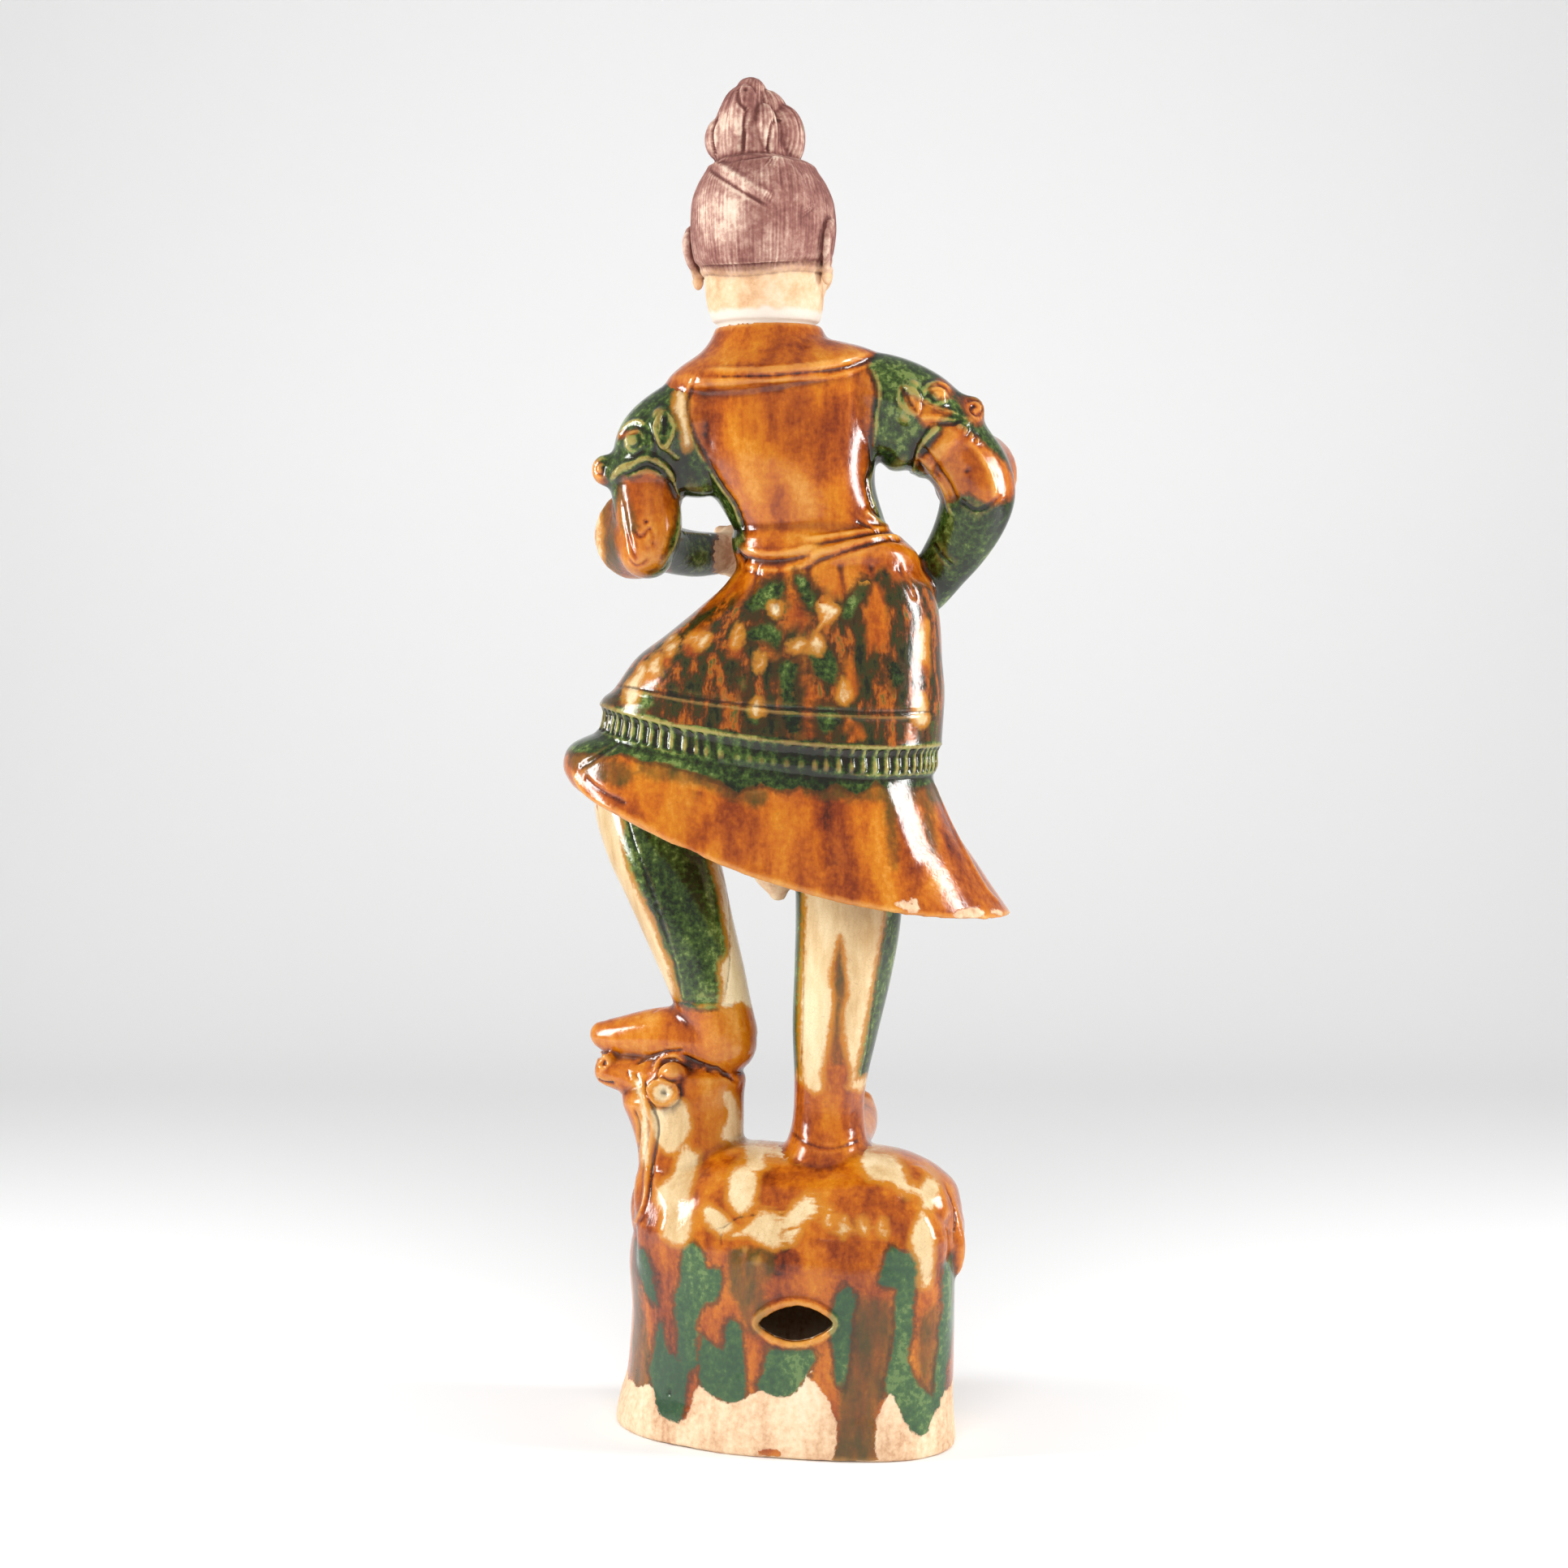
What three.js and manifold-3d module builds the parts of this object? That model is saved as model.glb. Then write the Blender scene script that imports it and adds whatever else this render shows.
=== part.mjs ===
// Sancai warrior figure, standing on a lying bull, built in one with its hollow oval plinth.
// Millimetres, Z up. +Y is the way the warrior faces, +X its right hand side.
// The head is a second fired piece whose neck rests in a socket in the collar.

import * as THREE from 'three';
import { LoftGeometry } from 'three/addons/geometries/LoftGeometry.js';
import { mergeVertices } from 'three/addons/utils/BufferGeometryUtils.js';
import Module from 'manifold-3d';

// Heights above the floor
const TOP = 1000;             // tip of the topknot
const SOCKET_FLOOR = 803;     // where the neck stands in the collar
const COLLAR_TOP = 819;
const WAIST = 660;
const TUNIC_HEM = 516;        // lower edge of the tunic at the back
const FRILL_HEM = 500;        // lower edge of the ribbed band
const SKIRT_HEM = 410;        // lower edge of the skirt at the back
const SPINE = 215;            // the bull's back
const PLINTH_TOP = 146;

// Widths and walls
const CHEST_HALF = 74;
const WAIST_HALF = 61;
const TUNIC_HALF = 127;
const HEM_HALF = 164;
const NECK_HALF = 35;
const PLINTH_HALF = 124;
const PLINTH_DEEP = 85;
const PLINTH_SKEW = -0.25;    // the oval's long axis is turned from the warrior's
const PLINTH_WALL = 11;
const SKIRT_WALL = 9;
const SEAT_GAP = 0.3;         // between the neck and its socket
const HEAD_TURN = -0.35;      // radians, towards the warrior's right
const NECK_AXIS = [-13, 0];

// Almond shaped vent in the back wall of the plinth
const VENT = { x: 8, z: 99, half: 27, rise: 15.5, inner: -52, cut: 60 };

const wasm = await Module();
wasm.setup();
const { Manifold, Mesh: FacetMesh } = wasm;

const at = (x, y, z) => new THREE.Vector3(x, y, z);
const bow = (value, power) => Math.sign(value) * Math.abs(value) ** (2 / power);

/** Weld a closed skin and make it a solid. */
function solid(geometry) {
  const bare = new THREE.BufferGeometry();
  bare.setAttribute('position', geometry.attributes.position);
  bare.setIndex(geometry.index);
  const skin = mergeVertices(bare, 1e-4);
  const corners = Array.from({ length: skin.index.count / 3 }, (_, i) => [0, 1, 2]
    .map((k) => skin.index.getX(3 * i + k)));
  return new Manifold(new FacetMesh({
    numProp: 3,
    vertProperties: Float32Array.from(skin.attributes.position.array),
    triVerts: Uint32Array.from(corners.filter((face) => new Set(face).size === 3).flat()),
  }));
}

/** Rings that round off the end of a skin: the last ring shrinks as it moves along `out`. */
function dome(ring, out, length) {
  const middle = ring.reduce((sum, p) => sum.add(p), at(0, 0, 0)).divideScalar(ring.length);
  const turns = length > 9 ? [0.65, 1.2] : [0.95];
  return turns.map((turn) => ring.map((p) => p.clone().sub(middle)
    .multiplyScalar(Math.cos(turn)).add(middle).addScaledVector(out, length * Math.sin(turn))));
}

/** Smooth samples through rows of numbers, `steps` to each gap. */
function sampled(rows, width, steps) {
  const full = rows.map((row) => [...row, ...Array(width).fill(0)].slice(0, width));
  const curves = [];
  for (let k = 0; k < width; k += 3) {
    const knots = full.map((row) => at(row[k], row[k + 1], row[k + 2]));
    curves.push(new THREE.CatmullRomCurve3(knots, false, 'catmullrom', 0.5));
  }
  const count = (rows.length - 1) * steps;
  return Array.from({ length: count + 1 }, (_, i) => curves
    .flatMap((curve) => curve.getPoint(i / count).toArray()));
}

/**
 * A body of level rings. Row: height, middle x, middle y, half width, depth to the front,
 * depth to the back, tilt (rise from left to right), sag (rise of both sides), lift of the front.
 */
function stack(rows, { sides = 24, steps = 1, power = 2, skew = 0, ends = [0, 0] } = {}) {
  const rise = Math.sign(rows.at(-1)[0] - rows[0][0]);
  const rings = sampled(rows, 9, steps).map(([z, x, y, half, front, back, tilt, sag, lift]) => {
    return Array.from({ length: sides }, (_, j) => {
      const turn = (rise * 2 * Math.PI * (j + 0.5)) / sides;
      const u = bow(Math.cos(turn), power);
      const v = bow(Math.sin(turn), power);
      const swell = tilt * u + sag * u * u + lift * Math.max(v, 0) ** 2;
      return at(x + half * u, y + (v > 0 ? front : back) * v + skew * half * u, z + swell);
    });
  });
  if (ends[0]) rings.unshift(...dome(rings[0], at(0, 0, -rise), ends[0]).reverse());
  if (ends[1]) rings.push(...dome(rings.at(-1), at(0, 0, rise), ends[1]));
  return solid(new LoftGeometry(rings, { capStart: true, capEnd: true }));
}

/**
 * A body of rings square to a path, for limbs and rolls. Row: x, y, z, half size across,
 * half size along `depth` (the direction given for the ring's second half size).
 */
function limb(rows, { sides = 12, steps = 1, depth = [0, 1, 0], ends = [0, 0] } = {}) {
  const path = new THREE.CatmullRomCurve3(rows.map((row) => at(...row)), false, 'catmullrom', 0.5);
  const beams = sampled(rows.map((row) => row.slice(3)), 3, steps);
  const rings = beams.map(([half, deep], i) => {
    const t = i / (beams.length - 1);
    const along = path.getTangent(t);
    const second = at(...depth).addScaledVector(along, -along.dot(at(...depth))).normalize();
    const first = second.clone().cross(along);
    return Array.from({ length: sides }, (_, j) => {
      const turn = (2 * Math.PI * (j + 0.5)) / sides;
      return path.getPoint(t).addScaledVector(first, half * Math.cos(turn))
        .addScaledVector(second, deep * Math.sin(turn));
    });
  });
  if (ends[0]) rings.unshift(...dome(rings[0], path.getTangent(0).negate(), ends[0]).reverse());
  if (ends[1]) rings.push(...dome(rings.at(-1), path.getTangent(1), ends[1]));
  return solid(new LoftGeometry(rings, { capStart: true, capEnd: true }));
}

/** An egg of three radii, turned by Euler angles. */
function egg(middle, radii, turn = [0, 0, 0], round = 8) {
  const shape = new THREE.SphereGeometry(1, round, Math.max(4, Math.round(round * 0.6)));
  const pose = new THREE.Quaternion().setFromEuler(new THREE.Euler(...turn));
  shape.applyMatrix4(new THREE.Matrix4().compose(at(...middle), pose, at(...radii)));
  return solid(shape);
}

const joined = (...pieces) => pieces.flat().reduce((all, piece) => all.add(piece));

// Plinth: an upright oval wall, open below, rounded over at the top
const footprint = { sides: 24, power: 2.4, skew: PLINTH_SKEW };
const plinth = stack([
  [0, -1, 0, PLINTH_HALF + 3, PLINTH_DEEP, PLINTH_DEEP + 1],
  [18, 0, 0, PLINTH_HALF + 1, PLINTH_DEEP, PLINTH_DEEP + 1],
  [42, 3, 0, PLINTH_HALF - 3, PLINTH_DEEP - 2, PLINTH_DEEP - 1],
  [85, 5, 0, PLINTH_HALF - 4, PLINTH_DEEP - 2, PLINTH_DEEP - 1],
  [118, 4, 0, PLINTH_HALF - 3, PLINTH_DEEP - 2, PLINTH_DEEP - 1],
  [PLINTH_TOP - 4, 4, 0, PLINTH_HALF - 6, PLINTH_DEEP - 12, PLINTH_DEEP - 2],
  [PLINTH_TOP + 12, 5, 0, PLINTH_HALF - 18, 40, PLINTH_DEEP - 8],
  [PLINTH_TOP + 24, 6, 0, PLINTH_HALF - 42, 30, PLINTH_DEEP - 24],
], footprint);
const hollow = stack([
  [-8, 0, 0, PLINTH_HALF - PLINTH_WALL, PLINTH_DEEP - PLINTH_WALL, PLINTH_DEEP - PLINTH_WALL + 1],
  [20, 1, 0, PLINTH_HALF - PLINTH_WALL - 1, PLINTH_DEEP - PLINTH_WALL - 1, PLINTH_DEEP - PLINTH_WALL],
  [95, 4, 0, PLINTH_HALF - PLINTH_WALL - 4, PLINTH_DEEP - PLINTH_WALL - 3, PLINTH_DEEP - PLINTH_WALL - 2],
  [118, 4, 0, PLINTH_HALF - 34, PLINTH_DEEP - 30, PLINTH_DEEP - 28],
  [128, 4, 0, 40, 26, 26],
], { ...footprint, sides: 18 });

const almond = new THREE.Shape();
almond.moveTo(-VENT.half, 1);
almond.quadraticCurveTo(-2, 2 * VENT.rise, VENT.half, 2);
almond.quadraticCurveTo(VENT.half + 2, -4, VENT.half - 3, -9);
almond.quadraticCurveTo(0, -1.7 * VENT.rise, -VENT.half, 1);
const vent = solid(new THREE.ExtrudeGeometry(almond, { depth: VENT.cut, bevelEnabled: false, curveSegments: 6 })
  .rotateX(Math.PI / 2).translate(VENT.x, VENT.inner, VENT.z));

// Bull: it lies across the plinth with its head to the warrior's left, raised and turned up
const bullBody = limb([
  [-106, 24, 160, 22, 24],
  [-94, 21, 160, 48, 48],
  [-62, 14, 150, 67, 63],
  [-25, 5, 146, 75, SPINE - 146],
  [20, -4, 146, 77, SPINE - 148],
  [63, -13, 147, 77, SPINE - 147],
  [89, -18, 145, 73, 64],
  [104, -22, 143, 62, 56],
  [115, -25, 140, 45, 44],
  [122, -27, 138, 28, 30],
], { sides: 14, depth: [0, 0, 1], ends: [8, 6] });
const bullNeck = stack([
  [150, -66, 14, 46, 44, 40],
  [185, -68, 15, 41, 40, 36, 3],
  [208, -70, 17, 40, 36, 34, 2],
  [228, -73, 19, 43, 35, 33],
  [244, -76, 20, 46, 34, 33],
  [262, -66, 20, 38, 30, 30],
], { sides: 12, ends: [0, 8] });
const bullHead = limb([
  [-56, 18, 252, 30, 24],
  [-84, 23, 256, 29, 23],
  [-104, 27, 259, 23, 18],
  [-122, 31, 262, 17, 13.5],
  [-133, 33, 264, 14, 12],
  [-138, 34, 264, 12, 10],
], { sides: 10, depth: [0, 0, 1], ends: [0, 5] });
const bullFeatures = [-1, 1].flatMap((side) => [
  egg([-83, 22 + side * 25, 265], [12, 9, 10], [0, 0, 0], 7),
  egg([-90, 21 + side * 28, 246], [13, 7, 9], [0, 0.5, side * 0.3], 7),
]);
const dewlap = limb([
  [-128, 31, 248, 6, 7],
  [-116, 27, 226, 6, 7],
  [-109, 24, 196, 6, 7],
  [-110, 25, 168, 7, 8],
  [-114, 28, 142, 6, 8],
], { sides: 6, ends: [4, 4] });
const tail = limb([
  [108, -28, 192, 6, 7],
  [119, -33, 180, 6, 7],
  [126, -36, 162, 5, 6],
  [128, -38, 146, 6, 6],
  [125, -40, 130, 7, 6],
], { sides: 6, ends: [4, 4] });

// Folded legs on the far side of the bull, and its low haunch on the near side
const bullLegs = [
  limb([[-70, 74, 172, 18, 17], [-94, 86, 154, 14, 14], [-84, 92, 140, 11, 11], [-50, 86, 138, 10, 10]],
    { sides: 8, ends: [9, 8] }),
  limb([[84, 40, 174, 26, 22], [92, 50, 154, 22, 18], [68, 62, 142, 13, 12], [30, 70, 139, 11, 10]],
    { sides: 8, ends: [12, 8] }),
  egg([80, -58, 152], [42, 35, 42]),
];

// Boots and legs: the left foot on the bull's brow, the right foot flat on its back
const leftLeg = limb([
  [-18, 6, 556, 44, 44],
  [-52, 34, 530, 44, 46],
  [-86, 52, 502, 42, 44],
  [-103, 56, 472, 41, 42],
  [-97, 46, 442, 40, 40],
  [-85, 34, 414, 38.5, 38],
  [-72, 25, 376, 34, 34],
  [-59, 20, 338, 30, 30],
  [-52, 18, 313, 28, 28],
  [-46, 16, 292, 27, 27],
], { sides: 10, ends: [0, 18] });
const leftBoot = limb([
  [-44, 14, 288, 25, 24],
  [-70, 22, 291, 25, 24],
  [-96, 30, 291, 22, 21],
  [-122, 38, 289, 17, 16],
  [-140, 43, 289, 11, 11],
], { sides: 10, depth: [0, 0, 1], ends: [24, 7] });
const rightLeg = limb([
  [50, 0, 545, 46, 48],
  [50, 0, 470, 43, 45],
  [48, -1, 390, 39.5, 40],
  [44, -2, 347, 36.5, 37],
  [38, -4, 302, 32, 33],
  [34, -6, 258, 26.5, 28],
  [33, -6, 228, 27.5, 30],
  [32, -7, 206, 34, 38],
], { sides: 10, ends: [0, 10] });
const rightBoot = limb([
  [36, 0, 216, 26, 20],
  [42, 30, 217, 25, 19],
  [50, 58, 219, 22, 17],
  [57, 80, 225, 16, 13],
  [60, 90, 233, 10, 9],
], { sides: 10, depth: [0, 0, 1], ends: [0, 6] });
const loincloth = limb([
  [-6, -2, 480, 30, 18],
  [-6, -4, 424, 21, 14],
  [-4, -5, 400, 7, 6],
], { sides: 8, ends: [0, 4] });

// Robe in one run of rings: trunk, rolled belt, tunic, ribbed band, flared skirt
const robe = stack([
  [806, -9, 0, 36, 34, 34],
  [797, -6, 0, 58, 42, 42, 6],
  [782, -3, 2, CHEST_HALF - 2, 52, 50, 5],
  [757, -2, 4, CHEST_HALF, 58, 54],
  [730, -1, 4, CHEST_HALF - 4, 60, 54],
  [688, 12, 2, WAIST_HALF - 2, 49, 45],
  [WAIST + 10, 20, 1, WAIST_HALF - 4, 46, 41],
  [WAIST + 4, 24, 0, WAIST_HALF + 3, 53, 47],
  [WAIST - 8, 31, 0, WAIST_HALF + 7, 55, 50],
  [WAIST - 16, 33, 0, WAIST_HALF + 6, 51, 46],
  [612, 25, 0, 89, 62, 56],
  [594, 15, 1, 101, 69, 62],
  [574, 3, 3, 114, 77, 69],
  [550, -3, 4, 122, 84, 74, -2, 2],
  [532, -8, 5, TUNIC_HALF - 1, 88, 77, -9, 6, 4],
  [TUNIC_HEM, -10, 6, TUNIC_HALF, 90, 79, -15, 10, 8],
  [TUNIC_HEM - 1, -10, 6, TUNIC_HALF - 4, 86, 75, -15, 10, 8],
  [FRILL_HEM, -11, 6, TUNIC_HALF - 2, 88, 77, -15, 9, 12],
  [FRILL_HEM - 1, -12, 6, TUNIC_HALF - 5, 85, 74, -15, 9, 12],
  [463, -18, 6, TUNIC_HALF + 14, 94, 82, -28, 20, 20],
  [436, -9, 7, HEM_HALF - 9, 98, 87, -38, 22, 32],
  [SKIRT_HEM, 6.5, 8, HEM_HALF, 101, 93, -49, 23, 45],
], { sides: 20, power: 2.15 });
const underSkirt = stack([
  [522, -14, 6, 44, 32, 28],
  [512, -14, 6, 84, 56, 50],
  [495, -16, 6, TUNIC_HALF - 14, 77, 65, -14, 9, 8],
  [463, -18, 6, TUNIC_HALF + 14 - SKIRT_WALL, 85, 73, -28, 20, 18],
  [436, -9, 7, HEM_HALF - 9 - SKIRT_WALL, 89, 78, -38, 22, 30],
  [SKIRT_HEM, 6.5, 8, HEM_HALF - SKIRT_WALL, 92, 84, -49, 23, 45],
  [SKIRT_HEM - 20, 6.5, 8, HEM_HALF - SKIRT_WALL, 92, 84, -49, 23, 45],
], { sides: 14, power: 2.15 });

// Standing collar that spreads into a short cape with a raised lip
const collar = stack([
  [COLLAR_TOP, -11, 0, NECK_HALF + 4, 37, 36],
  [811, -11, 0, NECK_HALF + 7, 40, 39],
  [801, -10, 0, NECK_HALF + 16, 45, 44, 4, 3],
  [789, -10, 0, NECK_HALF + 33, 56, 53, 8, 7],
  [781, -10, 0, NECK_HALF + 41, 61, 58, 10.5, 8.5],
  [775, -10, 0, NECK_HALF + 40, 60, 57, 10, 8],
  [770, -10, 0, NECK_HALF + 20, 48, 46, 6, 4],
], { sides: 16 });
const socket = stack([
  [COLLAR_TOP + 6, NECK_AXIS[0], -1, NECK_HALF + SEAT_GAP, 33 + SEAT_GAP, 32 + SEAT_GAP],
  [SOCKET_FLOOR, NECK_AXIS[0], -1, NECK_HALF + SEAT_GAP, 33 + SEAT_GAP, 32 + SEAT_GAP],
], { sides: 16 });

// Left arm: shoulder, beast mask, full sleeve to the elbow, forearm across the front, fist
const leftArm = limb([
  [-36, 2, 768, 28, 34],
  [-66, 2, 752, 32, 39],
  [-91, 3, 734, 32, 39],
  [-100, 3, 716, 28, 35],
  [-102, 3, 708, 31, 38],
  [-102, 2, 701, 26, 32],
  [-101, 0, 690, 25, 30],
  [-99, -4, 670, 24, 28],
  [-101, -6, 652, 20, 24],
], { sides: 10, ends: [0, 18] });
const leftCuff = limb([
  [-101, -8, 664, 22, 24],
  [-106, 12, 666, 27, 29],
  [-111, 31, 668, 33, 35],
], { sides: 10, depth: [0, 0, 1] });
const leftCuffHollow = limb([
  [-107, 14, 666, 20, 22],
  [-112, 36, 668, 30, 32],
], { sides: 10, depth: [0, 0, 1] });
const leftForearm = limb([
  [-99, 2, 662, 17, 17],
  [-86, 34, 657, 18, 18],
  [-66, 60, 654, 17.5, 17.5],
  [-40, 84, 656, 14, 15],
], { sides: 8, depth: [0, 0, 1] });

// Webs of cloth that fill the armpits down to the openings between arm and waist
const webs = [
  limb([[-52, 2, 752, 30, 36], [-65, 2, 722, 27, 32], [-68, 2, 703, 20, 25]], { sides: 8, ends: [0, 9] }),
  limb([[52, 2, 762, 30, 36], [82, 2, 738, 24, 30], [90, 2, 724, 17, 23]], { sides: 8, ends: [0, 9] }),
];

// The fist: a palm and four fingers curled over its front
const leftHand = [
  egg([-37, 86, 657], [18, 14, 21]),
  ...[0, 1, 2, 3].map((k) => egg([-35, 93, 671 - k * 9.5], [17, 10, 6.6], [0, 0, 0], 6)),
];

// Right arm: shoulder, beast mask, sleeve to the elbow, forearm down to the hand on the hip
const rightArm = limb([
  [36, 2, 776, 26, 34],
  [70, 2, 769, 31, 38],
  [97, 3, 757, 32, 38],
  [115, 4, 741, 31, 36],
  [121, 4, 734, 34, 38],
  [127, 4, 728, 29, 32],
  [137, 4, 714, 29, 30],
  [143, 4, 698, 28, 28],
  [139, 7, 680, 26, 24],
  [130, 13, 661, 23, 21],
  [118, 21, 643, 20, 19],
  [106, 31, 625, 17, 17],
  [95, 42, 613, 13, 14],
], { sides: 10, ends: [0, 8] });
const rightCuff = limb([
  [134, 0, 717, 24, 26],
  [140, 16, 714, 28, 30],
  [143, 32, 711, 33, 35],
], { sides: 10, depth: [0, 0, 1] });
const rightCuffHollow = limb([
  [141, 20, 713, 22, 24],
  [143, 37, 711, 30, 32],
], { sides: 10, depth: [0, 0, 1] });
const rightHand = [
  egg([84, 52, 616], [19, 13, 14]),
  ...[0, 1, 2, 3].map((k) => egg([62 - k * 2, 63, 620 - k * 8], [20, 6.5, 5.6], [0, 0.25, 0.1], 6)),
];

/**
 * Beast mask on a shoulder, above the rolled lip of the sleeve: curled snout at `snout`, and an
 * ear and an eye on each cheek, placed by x and z.
 */
function mask(side, { ear, eye, snout }) {
  return [-34, 38].flatMap((cheek) => [
    egg([ear[0], cheek, ear[1]], [7.5, 6, 18], [0, side * 0.25, 0], 6),
    egg([eye[0], cheek * 0.86, eye[1]], [9.5, 6, 7.5], [0, side * 0.6, 0], 6),
  ]).concat([
    egg(snout, [11, 13, 12], [0, 0, 0], 7),
    egg([snout[0] - side * 12, snout[1], snout[2] + 2], [16, 17, 13], [0, side * 0.4, 0], 7),
  ]);
}
const leftMask = mask(-1, { ear: [-90, 744], eye: [-109, 735], snout: [-131, 0, 714] });
const rightMask = mask(1, { ear: [92, 761], eye: [112, 768], snout: [136, 0, 757] });

// Front of the armour: two round plaques, the belt's buckle and the hanging apron
const plaques = [-31, 27].map((x) => egg([x, 52, 741], [25, 25, 13], [Math.PI / 2, 0, 0], 8));
const buckle = egg([24, 53, 652], [17, 8, 13], [0, 0, 0], 8);
const apron = limb([
  [22, 48, 642, 20, 8],
  [16, 66, 600, 23, 8],
  [10, 84, 555, 26, 8],
  [8, 92, 512, 29, 7],
  [8, 94, 488, 24, 6],
], { sides: 8, depth: [0, 1, 0.3], ends: [0, 8] });

const cloth = robe.subtract(underSkirt);
const warrior = joined(
  cloth, collar, leftLeg, leftBoot, rightLeg, rightBoot, loincloth,
  webs, leftArm, leftCuff.subtract(leftCuffHollow), leftForearm, leftHand,
  rightArm, rightCuff.subtract(rightCuffHollow), rightHand,
  leftMask, rightMask,
  plaques, buckle, apron,
).subtract(socket);
const bull = joined(bullBody, bullNeck, bullHead, bullFeatures, dewlap, tail, bullLegs);
const body = joined(plinth, bull, warrior).subtract(hollow).subtract(vent);

// Head: neck, skull and jaw, hair drawn up from a rolled hairline to a lobed topknot
const neck = stack([
  [SOCKET_FLOOR + SEAT_GAP, NECK_AXIS[0], -1, NECK_HALF, 33, 32],
  [COLLAR_TOP + SEAT_GAP, NECK_AXIS[0], -1, NECK_HALF, 33, 32],
  [COLLAR_TOP + 3, NECK_AXIS[0], -1, NECK_HALF + 4, 35, 35],
  [838, -14, -1, NECK_HALF + 8, 35, 39],
  [862, -15, -1, NECK_HALF + 9, 35, 46],
], { sides: 16 });
const turned = (piece) => piece.rotate([0, 0, THREE.MathUtils.radToDeg(HEAD_TURN)]).translate([-15, 1, 0]);
const skull = stack([
  [824, 0, 38, 14, 13, 12],
  [831, 0, 28, 28, 27, 26],
  [843, 0, 13, 40, 43, 42],
  [857, 0, 5, 46, 52, 53],
  [873, 0, 2, 49, 56, 58],
  [890, 0, 1, 50, 57, 60],
  [907, 0, 0, 49, 55, 57],
  [917, 0, -1, 42, 45, 50],
], { sides: 14, ends: [3, 0] });
const hair = stack([
  [858, 0, 0, 45, 50, 55, 0, 5, 46],
  [870, 0, 1, 50.5, 57.5, 59.5, 0, 3, 42],
  [888, 0, 1, 52, 57, 62, 0, 0, 30],
  [905, 0, 0, 51, 54, 61, 0, 0, 18],
  [919, 0, -1, 47, 49, 56, 0, 0, 10],
  [931, 0, -2, 40, 41, 47, 0, 0, 3],
], { sides: 14, ends: [0, 11] });
const features = [-1, 1].flatMap((side) => [
  egg([side * 48.5, -3, 868], [6, 12, 19], [0.1, side * -0.12, side * -0.3], 7),
  egg([side * 19, 49, 879], [11.5, 8, 6], [0, 0, side * -0.2], 6),
  egg([side * 19, 50, 889], [14, 7, 4], [0, side * 0.12, side * -0.25], 6),
  egg([side * 25, 40, 862], [14, 14, 13], [0, 0, 0], 6),
]).concat([
  limb([[0, 52, 889, 5, 5], [0, 58, 876, 5.5, 6], [0, 63, 866, 8, 7]], { sides: 6, ends: [3, 4] }),
  egg([0, 53, 850.5], [12, 8, 3.2], [0, 0, 0], 6),
  egg([0, 52, 845], [10, 8, 3.4], [0, 0, 0], 6),
  egg([0, 45, 833], [13, 11, 9], [0, 0, 0], 6),
]);
const topknot = [
  limb([
    [-19, 2, 920, 32, 32],
    [-21, 2, 936, 29, 28],
    [-25, 2, 952, 29, 27],
    [-27, 2, 966, 26, 25],
    [-27, 2, 980, 19, 20],
    [-24, 2, 990, 11, 12],
  ], { sides: 12, ends: [0, TOP - 990] }),
  egg([-46, 1, 955], [12, 16, 16], [0, 0, 0], 7),
  egg([-13, -13, 955], [10, 15, 22], [0, 0, 0], 7),
  egg([0, 3, 957], [15.5, 20, 23], [0, 0, 0], 7),
  egg([-11, 4, 974], [14, 15, 18], [0, 0, 0], 7),
];
const head = joined(neck, ...[skull, hair, ...features].map(turned), topknot);

/** A named mesh from a solid, in its own fired surface. */
function piece(name, shape, colour, roughness) {
  const mesh = shape.getMesh();
  const geometry = new THREE.BufferGeometry();
  const places = Float32Array.from({ length: mesh.numVert * 3 }, (_, i) => (
    mesh.vertProperties[Math.floor(i / 3) * mesh.numProp + (i % 3)]));
  geometry.setAttribute('position', new THREE.BufferAttribute(places, 3));
  geometry.setIndex(Array.from(mesh.triVerts));
  geometry.computeVertexNormals();
  const finish = new THREE.MeshStandardMaterial({ color: colour, roughness, metalness: 0 });
  const item = new THREE.Mesh(geometry, finish);
  item.name = name;
  return item;
}

const figure = new THREE.Group();
figure.name = 'sancai_warrior';
figure.add(piece('warrior_on_bull', body, 0x9a6422, 0.28));
figure.add(piece('head', head, 0xdcc2a6, 0.85));

// The origin is on the floor under the middle of the whole
const box = new THREE.Box3().setFromObject(figure);
const middle = box.getCenter(at(0, 0, 0));
for (const item of figure.children) item.geometry.translate(-middle.x, -middle.y, -box.min.z);

export default figure;
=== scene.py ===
"""Dresses the sancai warrior: fired clay shapes, carving and run glazes over the CAD frame."""

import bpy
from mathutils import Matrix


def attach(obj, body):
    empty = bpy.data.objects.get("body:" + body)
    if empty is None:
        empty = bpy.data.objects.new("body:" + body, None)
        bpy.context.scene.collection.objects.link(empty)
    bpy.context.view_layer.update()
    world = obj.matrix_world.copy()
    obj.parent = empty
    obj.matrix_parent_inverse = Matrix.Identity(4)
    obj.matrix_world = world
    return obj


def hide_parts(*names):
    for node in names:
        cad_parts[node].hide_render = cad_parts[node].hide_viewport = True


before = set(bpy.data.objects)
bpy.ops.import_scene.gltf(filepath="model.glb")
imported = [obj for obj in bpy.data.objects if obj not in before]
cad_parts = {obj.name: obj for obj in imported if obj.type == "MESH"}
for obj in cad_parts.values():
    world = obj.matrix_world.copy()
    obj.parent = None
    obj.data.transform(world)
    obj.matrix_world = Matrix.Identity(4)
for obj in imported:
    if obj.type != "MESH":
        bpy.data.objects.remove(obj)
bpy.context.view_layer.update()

import math
import bmesh
import bpy
import numpy as np
from mathutils import Euler, Matrix, Vector, noise
from mathutils.bvhtree import BVHTree
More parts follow.
